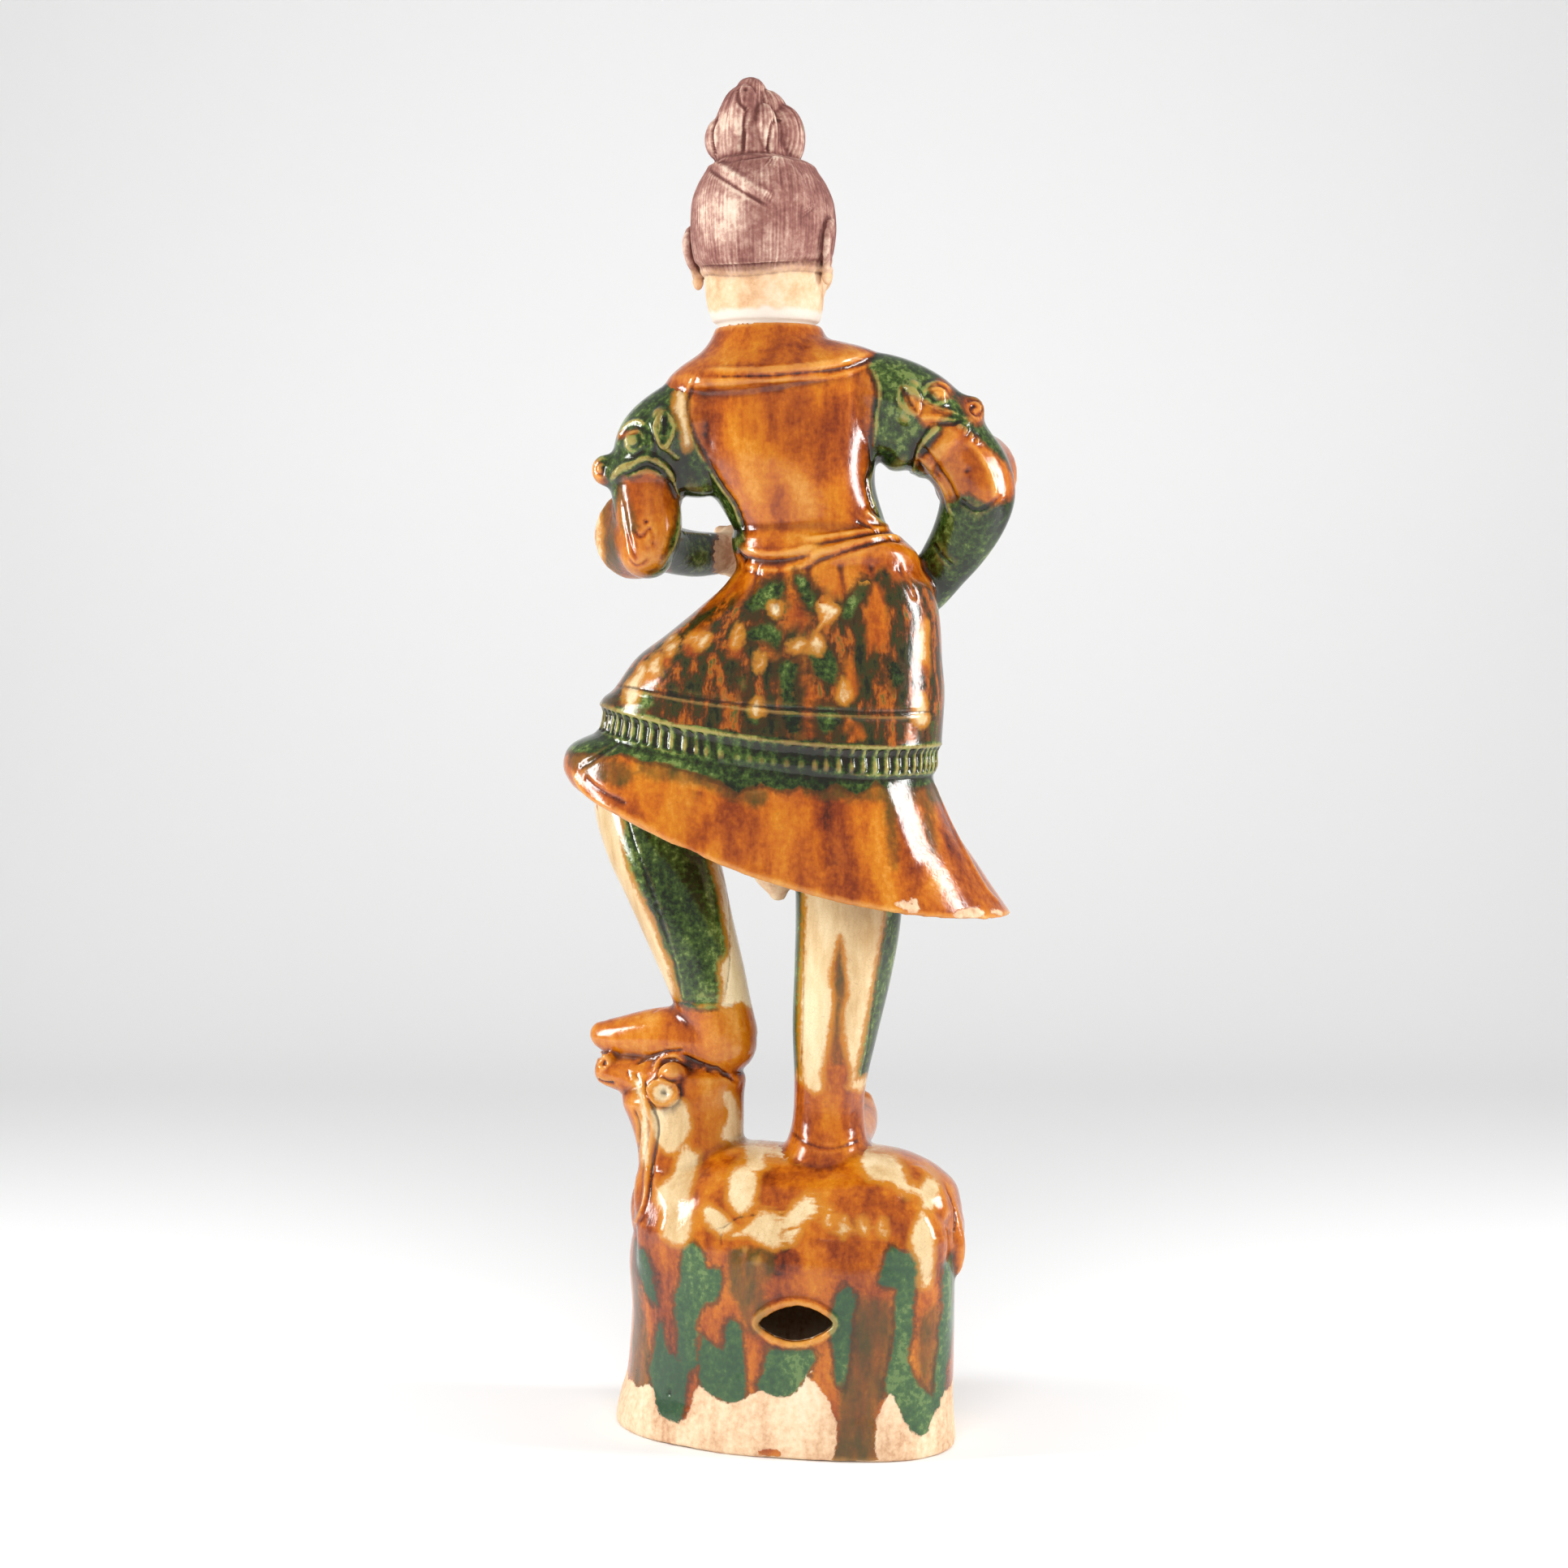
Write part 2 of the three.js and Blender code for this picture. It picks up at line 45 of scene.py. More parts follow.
from mathutils.kdtree import KDTree

# Shapes are worked out in millimetres about the figure's own axis, then placed in the frame.
MM = 0.001
AXIS = np.array([-5.992, -6.537, 0.0])     # the axis in the frame
BACK, FRONT = -1, 1
BODY_VOXEL = 1.65        # grain of the clay surface
HEAD_VOXEL = 0.95
BODY_FACES = 196000
SEED = 7

# Driving sizes, as in the CAD source
TOP = 1000
SOCKET_FLOOR = 803
COLLAR_TOP = 819
WAIST = 660
TUNIC_HEM = 516
FRILL_HEM = 500
SKIRT_HEM = 410
SPINE = 215
PLINTH_TOP = 146
CHEST_HALF = 74
WAIST_HALF = 61
TUNIC_HALF = 127
HEM_HALF = 164
NECK_HALF = 35
PLINTH_HALF = 124
PLINTH_DEEP = 85
PLINTH_SKEW = -0.25
PLINTH_WALL = 11
SKIRT_WALL = 9
SEAT_GAP = 0.3
HEAD_TURN = -0.35
NECK_AXIS = (-13, 0)
HEAD_PLACE = Vector((-15, 1, 0))


def sampled(rows, width, count, tight):
    """Rows of numbers made smooth; tight rows never swing past their own values."""
    knots = np.array([list(row) + [0.0] * (width - len(row)) for row in rows], float)
    steps = np.diff(knots, axis=0)
    slopes = np.empty_like(knots)
    slopes[0], slopes[-1] = steps[0], steps[-1]
    before, after = steps[:-1], steps[1:]
    slopes[1:-1] = (before + after) / 2
    if tight:
        same = before * after > 0
        slopes[1:-1] = np.where(same, 2 * before * after / np.where(same, before + after, 1), 0)
    place = np.linspace(0, len(rows) - 1, count)
    first = np.minimum(place.astype(int), len(rows) - 2)
    t = (place - first)[:, None]
    a, b = knots[first], knots[first + 1]
    da, db = slopes[first], slopes[first + 1]
    return (a * (1 + 2 * t) * (1 - t) ** 2 + b * t * t * (3 - 2 * t)
            + da * t * (1 - t) ** 2 - db * t * t * (1 - t))


def skin(rings, ends, outs):
    """A closed skin through rings of points, each end rounded off by its length."""
    rings = list(rings)
    for where, length, out in ((0, ends[0], outs[0]), (-1, ends[1], outs[1])):
        ring = rings[where]
        middle = ring.mean(axis=0)
        turns = np.linspace(0, math.pi / 2, 7)[1:] if length else [math.pi / 2]
        caps = [middle + (ring - middle) * max(math.cos(turn), 0) + out * length * math.sin(turn)
                for turn in turns]
        rings = caps[::-1] + rings if where == 0 else rings + caps
    rings = np.array(rings)
    count, sides = rings.shape[:2]
    bm = bmesh.new()
    bmesh.ops.create_grid(bm, x_segments=sides, y_segments=count - 1, size=0.5)
    for vert in bm.verts:
        i = round((vert.co.y + 0.5) * (count - 1))
        j = round((vert.co.x + 0.5) * sides) % sides
        vert.co = rings[i, j]
    bmesh.ops.remove_doubles(bm, verts=bm.verts, dist=1e-3)
    bmesh.ops.recalc_face_normals(bm, faces=bm.faces)
    return bm


def power_curve(values, power):
    return np.sign(values) * np.abs(values) ** (2 / power)


def stack(rows, sides=96, per=8, power=2.0, skew=0.0, ends=(0, 0), tight=True):
    """Level rings. Row: z, mid x, mid y, half width, front, back, tilt, sag, lift of the front."""
    values = sampled(rows, 9, (len(rows) - 1) * per + 1, tight)
    turns = np.arange(sides) * 2 * math.pi / sides
    u = power_curve(np.cos(turns), power)
    v = power_curve(np.sin(turns), power)
    z, x, y, half, front, back, tilt, sag, lift = (column[:, None] for column in values.T)
    depth = np.where(v > 0, front, back)
    rings = np.stack([
        x + half * u,
        y + depth * v + skew * half * u,
        z + tilt * u + sag * u * u + lift * np.maximum(v, 0) ** 2,
    ], axis=-1)
    rise = np.array([0, 0, np.sign(rows[-1][0] - rows[0][0])])
    return skin(rings, ends, (-rise, rise))


def limb(rows, sides=40, per=8, depth=(0, 1, 0), ends=(0, 0), tight=False):
    """Rings square to a path. Row: x, y, z, half size across, half size along `depth`."""
    values = sampled(rows, 5, (len(rows) - 1) * per + 1, tight)
    path = values[:, :3]
    along = np.gradient(path, axis=0)
    along /= np.linalg.norm(along, axis=1)[:, None]
    second = np.array(depth, float) - along * (along @ np.array(depth, float))[:, None]
    second /= np.linalg.norm(second, axis=1)[:, None]
    first = np.cross(second, along)
    turns = np.arange(sides) * 2 * math.pi / sides
    rings = (path[:, None] + first[:, None] * (values[:, 3:4] * np.cos(turns))[..., None]
             + second[:, None] * (values[:, 4:5] * np.sin(turns))[..., None])
    return skin(rings, ends, (-along[0], along[-1]))


def egg(middle, radii, turn=(0, 0, 0), round_=28):
    """An egg of three radii, turned by Euler angles."""
    bm = bmesh.new()
    pose = Matrix.LocRotScale(Vector(middle), Euler(turn), Vector(radii))
    bmesh.ops.create_uvsphere(bm, u_segments=round_, v_segments=round_ // 2, radius=1, matrix=pose)
    return bm


def gather(shapes, name):
    """One mesh from many shapes."""
    whole = bmesh.new()
    for shape in shapes:
        part = bpy.data.meshes.new("part")
        shape.to_mesh(part)
        shape.free()
        whole.from_mesh(part)
        bpy.data.meshes.remove(part)
    mesh = bpy.data.meshes.new(name)
    whole.to_mesh(mesh)
    whole.free()
    return mesh


def modified(mesh, *settings):
    """The mesh with modifiers applied in turn; each is (kind, settings)."""
    item = bpy.data.objects.new("work", mesh)
    bpy.context.scene.collection.objects.link(item)
    for kind, values in settings:
        modifier = item.modifiers.new(kind.lower(), kind)
        for key, value in values.items():
            setattr(modifier, key, value)
    depsgraph = bpy.context.evaluated_depsgraph_get()
    result = bpy.data.meshes.new_from_object(item.evaluated_get(depsgraph))
    bpy.data.objects.remove(item)
    return result


def clay(mesh, voxel, rubs, strength=0.5):
    """One skin over everything, with its creases rubbed soft."""
    return modified(
        mesh,
        ("REMESH", {"mode": "VOXEL", "voxel_size": voxel, "use_smooth_shade": True}),
        ("SMOOTH", {"factor": strength, "iterations": rubs}),
    )


def cut(mesh, shapes):
    """The mesh less the shapes."""
    tool = bpy.data.objects.new("tool", gather(shapes, "tool"))
    bpy.context.scene.collection.objects.link(tool)
    result = modified(mesh, ("BOOLEAN", {"operation": "DIFFERENCE", "solver": "MANIFOLD", "object": tool}))
    bpy.data.objects.remove(tool)
    return result


class Surface:
    """A skin's points and normals, in millimetres, with relief worked into it."""

    def __init__(self, mesh):
        self.mesh = mesh
        self.read()

    def read(self):
        count = len(self.mesh.vertices)
        self.points = np.empty(count * 3)
        self.mesh.vertices.foreach_get("co", self.points)
        self.points = self.points.reshape(-1, 3)
        self.normals = np.empty(count * 3)
        self.mesh.vertex_normals.foreach_get("vector", self.normals)
        self.normals = self.normals.reshape(-1, 3)
        self.rise = np.zeros(count)
        triangles = self.mesh.polygons
        corners = [tuple(face.vertices) for face in triangles]
        self.tree = BVHTree.FromPolygons(self.points.tolist(), corners)

    def lay(self, path, side=BACK, step=1.5):
        """A curve laid on the skin: (x, z) points from the back or front, (x, y, z) to the nearest."""
        count = max(2, int(sum(math.dist(a, b) for a, b in zip(path, path[1:])) / step))
        width = len(path[0])
        dense = sampled(path, width, count, False) if len(path) > 2 else np.linspace(*path, count)
        laid = []
        for spot in dense:
            if width == 3:
                hit = self.tree.find_nearest(Vector(spot))[0]
            else:
                hit = self.tree.ray_cast(Vector((spot[0], side * 300, spot[1])), Vector((0, -side, 0)))[0]
            if hit is not None:
                laid.append(tuple(hit))
        return np.array(laid) if laid else np.zeros((0, 3))

    def near(self, spots, reach):
        """The points within reach of the spots: their numbers, distances and nearest spots."""
        if len(spots) == 0:
            return np.zeros(0, int), np.zeros(0), np.zeros(0, int)
        low, high = spots.min(axis=0) - reach, spots.max(axis=0) + reach
        close = np.flatnonzero(((self.points > low) & (self.points < high)).all(axis=1))
        gaps = np.empty(len(close))
        nearest = np.empty(len(close), int)
        for start in range(0, len(close), 4000):
            rows = slice(start, start + 4000)
            apart = np.linalg.norm(self.points[close[rows], None] - spots[None], axis=2)
            nearest[rows] = apart.argmin(axis=1)
            gaps[rows] = apart.min(axis=1)
        kept = gaps < reach
        return close[kept], gaps[kept], nearest[kept]

    def press(self, path, width, height, side=BACK, fade=True):
        """A rolled ridge along a curve, or a groove where height is negative."""
        spots = self.lay(path, side)
        found, gaps, nearest = self.near(spots, width * 2.2)
        strength = np.exp(-(gaps / width) ** 2)
        if fade and len(spots) > 1:
            along = nearest / (len(spots) - 1)
            strength *= np.clip(np.minimum(along, 1 - along) * 9 + 0.25, 0, 1)
        self.rise[found] += height * strength

    def dab(self, middle, radius, height, side=BACK):
        """A round swelling, or a hollow where height is negative."""
        spots = self.lay([middle, middle], side)
        found, gaps, _ = self.near(spots, radius * 2)
        self.rise[found] += height * np.exp(-(gaps / radius) ** 2)

    def settle(self):
        """Moves the points by the relief worked in so far."""
        self.points += self.normals * self.rise[:, None]
        self.mesh.vertices.foreach_set("co", self.points.ravel())
        self.mesh.update()
        self.read()


def ramp(values, low, high):
    """0 below low, 1 above high, smooth between."""
    t = np.clip((values - low) / (high - low), 0, 1)
    return t * t * (3 - 2 * t)


def wander(points, size, seed=0.0, stretch=(1, 1, 1)):
    """Soft noise from -1 to 1 at the points, its lumps about `size` mm across."""
    spots = points / size / np.array(stretch) + seed
    return np.array([noise.noise(Vector(spot)) for spot in spots])


# Large clay shapes: plinth and bull

def plinth_shape():
    return stack([
        [0, -1, 0, PLINTH_HALF + 3, PLINTH_DEEP, PLINTH_DEEP + 1],
        [18, 0, 0, PLINTH_HALF + 1, PLINTH_DEEP, PLINTH_DEEP + 1],
        [42, 3, 0, PLINTH_HALF - 3, PLINTH_DEEP - 2, PLINTH_DEEP - 1],
        [85, 5, 0, PLINTH_HALF - 4, PLINTH_DEEP - 2, PLINTH_DEEP - 1],
        [118, 4, 0, PLINTH_HALF - 3, PLINTH_DEEP - 2, PLINTH_DEEP - 1],
        [PLINTH_TOP - 4, 4, 0, PLINTH_HALF - 6, PLINTH_DEEP - 12, PLINTH_DEEP - 2],
        [PLINTH_TOP + 12, 5, 0, PLINTH_HALF - 18, 40, PLINTH_DEEP - 8],
        [PLINTH_TOP + 24, 6, 0, PLINTH_HALF - 42, 30, PLINTH_DEEP - 24],
    ], sides=140, power=2.4, skew=PLINTH_SKEW)


def plinth_hollow():
    half, deep = PLINTH_HALF - PLINTH_WALL, PLINTH_DEEP - PLINTH_WALL
    return stack([
        [-8, 0, 0, half, deep, deep + 1],
        [20, 1, 0, half - 1, deep - 1, deep],
        [95, 4, 0, half - 4, deep - 3, deep - 2],
        [118, 4, 0, half - 23, deep - 19, deep - 17],
        [128, 4, 0, 40, 26, 26],
    ], sides=100, power=2.4, skew=PLINTH_SKEW)


def vent_shape():
    """An almond, wider than high, driven through the back wall."""
    bm = bmesh.new()
    place = Matrix.Translation((8, -82, 98)) @ Matrix.Rotation(math.pi / 2, 4, "X")
    bmesh.ops.create_circle(bm, cap_ends=True, segments=48, radius=1)
    for vert in bm.verts:
        x, y = vert.co.x, vert.co.y
        rise = 14.5 if y > 0 else 13
        vert.co = Vector((27 * x, rise * y * (1 - 0.35 * x * x) + 1.5 * x, 0))
    walls = bmesh.ops.extrude_face_region(bm, geom=bm.faces[:])
    moved = [item for item in walls["geom"] if isinstance(item, bmesh.types.BMVert)]
    bmesh.ops.translate(bm, verts=moved, vec=(0, 0, 60))
    bmesh.ops.translate(bm, verts=bm.verts, vec=(0, 0, -30))
    bmesh.ops.transform(bm, verts=bm.verts, matrix=place)
    bmesh.ops.recalc_face_normals(bm, faces=bm.faces)
    return bm


def bull_shapes():
    body = limb([
        [-106, 24, 160, 22, 24],
        [-94, 21, 160, 48, 48],
        [-62, 14, 150, 67, 63],
        [-25, 5, 146, 75, SPINE - 146],
        [20, -4, 146, 77, SPINE - 148],
        [63, -13, 147, 77, SPINE - 147],
        [89, -18, 145, 73, 64],
        [104, -22, 143, 62, 56],
        [115, -25, 140, 45, 44],
        [122, -27, 138, 28, 30],
    ], sides=80, depth=(0, 0, 1), ends=(8, 6))
    neck = stack([
        [150, -66, 14, 46, 44, 40],
        [185, -68, 15, 41, 40, 36, 3],
        [208, -70, 17, 40, 36, 34, 2],
        [228, -73, 19, 43, 35, 33],
        [244, -76, 20, 46, 34, 33],
        [262, -66, 20, 38, 30, 30],
    ], sides=64, ends=(0, 8))
    head = limb([
        [-56, 18, 252, 30, 24],
        [-84, 23, 256, 29, 23],
        [-104, 27, 259, 23, 18],
        [-122, 31, 262, 17, 13.5],
        [-133, 33, 264, 14, 12],
        [-138, 34, 264, 12, 10],
    ], sides=48, depth=(0, 0, 1), ends=(0, 5))
    tail = limb([
        [108, -28, 192, 5, 6],
        [119, -33, 180, 5.5, 6.5],
        [126, -36, 162, 5, 6],
        [128, -38, 146, 6, 7],
        [125, -40, 130, 6, 5],
    ], sides=20, ends=(4, 6))
    legs = [
        limb([[-70, 74, 172, 18, 17], [-94, 86, 154, 14, 14], [-84, 92, 140, 11, 11],
              [-50, 86, 138, 10, 10]], sides=28, ends=(9, 8)),
        limb([[84, 40, 174, 26, 22], [92, 50, 154, 22, 18], [68, 62, 142, 13, 12],
              [30, 70, 139, 11, 10]], sides=28, ends=(12, 8)),
        egg((80, -56, 150), (40, 34, 41)),
    ]
    return [body, neck, head, tail, *legs]


# Legs and boots

def leg_shapes():
    left = limb([
        [-18, 6, 556, 44, 44],
        [-52, 34, 530, 44, 46],
        [-86, 52, 502, 42, 44],
        [-103, 56, 472, 41, 42],
        [-97, 46, 442, 40, 40],
        [-85, 34, 414, 38.5, 38],
        [-72, 25, 376, 34, 34],
        [-59, 20, 338, 30, 30],
        [-52, 18, 313, 28, 28],
        [-46, 16, 292, 27, 27],
    ], sides=56, ends=(0, 18))
    right = limb([
        [50, 0, 545, 46, 48],
        [50, 0, 470, 43, 45],
        [48, -1, 390, 39.5, 40],
        [44, -2, 347, 36.5, 37],
        [38, -4, 302, 32, 33],
        [34, -6, 258, 26.5, 28],
        [33, -6, 228, 27.5, 30],
        [32, -7, 206, 34, 38],
    ], sides=56, ends=(0, 10))
    return [left, right]


def boot_shapes():
    left = limb([
        [-44, 14, 288, 25, 24],
        [-70, 22, 291, 25, 24],
        [-96, 30, 291, 22, 21],
        [-122, 38, 289, 17, 16],
        [-136, 42, 290, 12, 12],
        [-141, 44, 292, 9, 9],
    ], sides=48, depth=(0, 0, 1), ends=(24, 6))
    right = limb([
        [36, 0, 216, 26, 20],
        [42, 30, 217, 25, 19],
        [50, 58, 219, 22, 17],
        [57, 80, 225, 16, 13],
        [60, 90, 233, 10, 9],
    ], sides=40, depth=(0, 0, 1), ends=(0, 6))
    return [left, right]


# Robe, collar and skirt

def robe_shape():
    return stack([
        [806, -9, 0, 36, 34, 34],
        [797, -6, 0, 58, 42, 42, 6],
        [782, -3, 2, CHEST_HALF - 2, 52, 50, 5],
        [757, -2, 4, CHEST_HALF, 58, 54],
        [730, -1, 4, CHEST_HALF - 4, 60, 54],
        [706, 4, 3, WAIST_HALF + 2, 55, 50],
        [688, 12, 2, WAIST_HALF - 2, 49, 45],
        [WAIST + 11, 20, 1, WAIST_HALF - 4, 46, 41],
        [WAIST + 4, 24, 0, WAIST_HALF + 2, 52, 46],
        [WAIST - 8, 31, 0, WAIST_HALF + 7, 55, 50],
        [WAIST - 17, 33, 0, WAIST_HALF + 7, 52, 47],
        [WAIST - 28, 33, 0, WAIST_HALF + 14, 54, 49],
        [612, 25, 0, 89, 62, 56],
        [594, 15, 1, 101, 69, 62],
        [574, 3, 3, 114, 77, 69],
        [550, -3, 4, 122, 84, 74, -2, 2],
        [532, -8, 5, TUNIC_HALF - 1, 88, 77, -9, 6, 4],
        [TUNIC_HEM, -10, 6, TUNIC_HALF, 90, 79, -15, 10, 8],
        [TUNIC_HEM - 1.5, -10, 6, TUNIC_HALF - 4, 86, 75, -15, 10, 8],
        [FRILL_HEM, -11, 6, TUNIC_HALF - 2, 88, 77, -15, 9, 12],
        [FRILL_HEM - 1.5, -12, 6, TUNIC_HALF - 5, 85, 74, -15, 9, 12],
        [480, -17, 5, TUNIC_HALF + 5, 91, 79, -22, 15, 15],
        [463, -18, 6, TUNIC_HALF + 14, 94, 82, -28, 20, 20],
        [436, -9, 7, HEM_HALF - 9, 98, 87, -38, 22, 32],
        [SKIRT_HEM, 6.5, 8, HEM_HALF, 101, 93, -49, 23, 45],
    ], sides=160, power=2.15)


def under_skirt():
    return stack([
        [522, -14, 6, 44, 32, 28],
        [512, -14, 6, 84, 56, 50],
        [495, -16, 6, TUNIC_HALF - 14, 77, 65, -14, 9, 8],
        [463, -18, 6, TUNIC_HALF + 14 - SKIRT_WALL, 85, 73, -28, 20, 18],
        [436, -9, 7, HEM_HALF - 9 - SKIRT_WALL, 89, 78, -38, 22, 30],
        [SKIRT_HEM, 6.5, 8, HEM_HALF - SKIRT_WALL, 92, 84, -49, 23, 45],
        [SKIRT_HEM - 20, 6.5, 8, HEM_HALF - SKIRT_WALL, 92, 84, -49, 23, 45],
    ], sides=120, power=2.15)


def loincloth_shape():
    return limb([[-6, -2, 480, 30, 18], [-6, -4, 424, 21, 14], [-4, -5, 400, 6, 5]],
                sides=32, ends=(0, 4))


def apron_shape():
    return limb([
        [22, 48, 642, 20, 8],
        [16, 66, 600, 23, 8],
        [10, 84, 555, 26, 8],
        [8, 92, 512, 29, 7],
        [8, 94, 488, 24, 6],
    ], sides=40, depth=(0, 1, 0.3), ends=(0, 8))


def collar_shape():
    return stack([
        [COLLAR_TOP, -11, 0, NECK_HALF + 4, 37, 36],
        [811, -11, 0, NECK_HALF + 7, 40, 39],
        [801, -10, 0, NECK_HALF + 16, 45, 44, 4, 3],
        [789, -10, 0, NECK_HALF + 33, 56, 53, 8, 7],
        [781, -10, 0, NECK_HALF + 41, 61, 58, 10.5, 8.5],
        [775, -10, 0, NECK_HALF + 40, 60, 57, 10, 8],
        [770, -10, 0, NECK_HALF + 20, 48, 46, 6, 4],
    ], sides=100)


def socket_shape():
    return stack([
        [COLLAR_TOP + 6, NECK_AXIS[0], -1, NECK_HALF + SEAT_GAP, 33 + SEAT_GAP, 32 + SEAT_GAP],
        [SOCKET_FLOOR, NECK_AXIS[0], -1, NECK_HALF + SEAT_GAP, 33 + SEAT_GAP, 32 + SEAT_GAP],
    ], sides=80, per=2)


# Arms, sleeves, cuffs and hands

def left_arm_shapes():
    arm = limb([
        [-36, 2, 768, 28, 34],
        [-66, 2, 752, 32, 39],
        [-91, 3, 734, 32, 39],
        [-100, 3, 716, 28, 35],
        [-102, 3, 708, 31, 38],
        [-102, 2, 701, 26, 32],
        [-101, 0, 690, 25, 30],
        [-99, -4, 670, 24, 28],
        [-101, -6, 652, 20, 24],
    ], sides=56, ends=(0, 18))
    forearm = limb([
        [-99, 2, 662, 17, 17],
        [-86, 34, 657, 18, 18],
        [-66, 60, 654, 17.5, 17.5],
        [-40, 84, 656, 14, 15],
    ], sides=36, depth=(0, 0, 1))
    return [arm, forearm]


def left_cuff_shapes():
    flare = limb([[-101, -8, 664, 22, 24], [-106, 12, 666, 27, 29], [-111, 31, 668, 33, 35]],
                 sides=48, depth=(0, 0, 1))
    mouth = limb([[-107, 14, 666, 20, 22], [-112, 36, 668, 30, 32]], sides=48, depth=(0, 0, 1))
    return flare, mouth


def right_arm_shapes():
    arm = limb([
        [36, 2, 776, 26, 34],
        [70, 2, 769, 31, 38],
        [97, 3, 757, 32, 38],
        [115, 4, 741, 31, 36],
        [121, 4, 734, 34, 38],
        [127, 4, 728, 29, 32],
        [137, 4, 714, 29, 30],
        [143, 4, 698, 28, 28],
        [139, 7, 680, 26, 24],
        [130, 13, 661, 23, 21],
        [118, 21, 643, 20, 19],
        [106, 31, 625, 17, 17],
        [95, 42, 613, 13, 14],
    ], sides=56, ends=(0, 8))
    return [arm]


def right_cuff_shapes():
    flare = limb([[134, 0, 717, 24, 26], [140, 16, 714, 28, 30], [143, 32, 711, 33, 35]],
                 sides=48, depth=(0, 0, 1))
    mouth = limb([[141, 20, 713, 22, 24], [143, 37, 711, 30, 32]], sides=48, depth=(0, 0, 1))
    return flare, mouth


def armpit_webs():
    return [
        limb([[-52, 2, 752, 30, 36], [-65, 2, 722, 27, 32], [-68, 2, 703, 20, 25]], ends=(0, 9)),
        limb([[52, 2, 762, 30, 36], [82, 2, 738, 24, 30], [90, 2, 724, 17, 23]], ends=(0, 9)),
    ]


def hand_shapes():
    """The left fist with its fingers curled over, and the right hand laid on the hip."""
    fist = [egg((-37, 86, 657), (18, 14, 21)), egg((-26, 86, 680), (7, 8, 9), (0.5, 0, 0))]
    fist += [limb([[-50, 92, 672 - k * 9.5, 5, 5], [-34, 101, 671.5 - k * 9.5, 5.6, 5.2],
                   [-22, 94, 671 - k * 9.5, 4.6, 4.6]], sides=16, depth=(0, 0, 1), ends=(4, 4))
             for k in range(4)]
    palm = [egg((84, 52, 616), (19, 13, 14)), egg((80, 56, 634), (6, 6, 11), (0, 0.5, 0))]
    palm += [limb([[80, 60, 622 - k * 8, 5.2, 5], [62, 64, 621 - k * 8, 5.4, 5],
                   [46 - k, 63, 618 - k * 7, 4.2, 4]], sides=16, depth=(0, 0, 1), ends=(4, 4))
             for k in range(4)]
    return fist + palm


def mask_shapes(side, ear, eye, snout):
    """A beast's head on a shoulder: leaf ears, domed eyes and a curled snout over the sleeve."""
    shapes = []
    for cheek in (-34, 38):
        shapes.append(egg((ear[0], cheek, ear[1]), (7, 6, 17), (0, side * 0.25, 0)))
        shapes.append(egg((eye[0], cheek * 0.86, eye[1]), (8.5, 5.5, 6.5), (0, side * 0.6, 0)))
    shapes.append(egg(snout, (11, 13, 12)))
    shapes.append(egg((snout[0] - side * 12, snout[1], snout[2] + 2), (16, 17, 13), (0, side * 0.4, 0)))
    return shapes


# Places on the figure that the carving and the glazes share, as (x, z) on the back or the front

PANEL_LEFT = [(-63, 779), (-70, 761), (-66, 740), (-54, 717), (-45, 702), (-34, 686), (-27, 664)]
PANEL_RIGHT = [(60, 788), (66, 771), (65, 753), (63, 734), (63, 717), (60, 705), (62, 692), (68, 678)]
TUNIC_LINE = [(-128, 557), (-96, 553), (-58, 547), (-3, 541), (72, 537), (112, 537)]
COLLAR_LIP = [(-60, 779), (-18, 778), (20, 781), (43, 785), (66, 794)]
LEFT_LIP = [(-126, 706), (-118, 714), (-109, 717), (-99, 721), (-88, 716), (-80, 704), (-76, 691)]
RIGHT_LIP = [(112, 745), (104, 736), (99, 728), (96, 718), (95, 710)]
BULL_EAR = (-90, 254)
BULL_EYE = (-84, 270)
VENT_RIM = [(8 + 29 * math.cos(a), 99 + 15.5 * math.sin(a) * (1 - 0.3 * math.cos(a) ** 2)
             + 1.5 * math.cos(a)) for a in np.linspace(0, 2 * math.pi, 25)]


def spiral(middle, radius, turns, start, sense):
    """A snail of (x, z) points winding inward."""
    angles = np.linspace(0, turns * 2 * math.pi, 22)
    sizes = radius * (1 - 0.8 * angles / angles[-1])
    return [(middle[0] + r * math.cos(start + sense * a), middle[1] + r * math.sin(start + sense * a))
            for a, r in zip(angles, sizes)]


def leaf(tip, root, width):
    """The outline of a pointed leaf from its tip to its root and back."""
    tip, root = np.array(tip, float), np.array(root, float)
    across = np.array([root[1] - tip[1], tip[0] - root[0]])
    across *= width / np.linalg.norm(across)
    return [tuple(p) for p in (tip, tip * 0.5 + root * 0.5 + across, root + across * 0.3,
                               root - across * 0.3, tip * 0.5 + root * 0.5 - across, tip)]


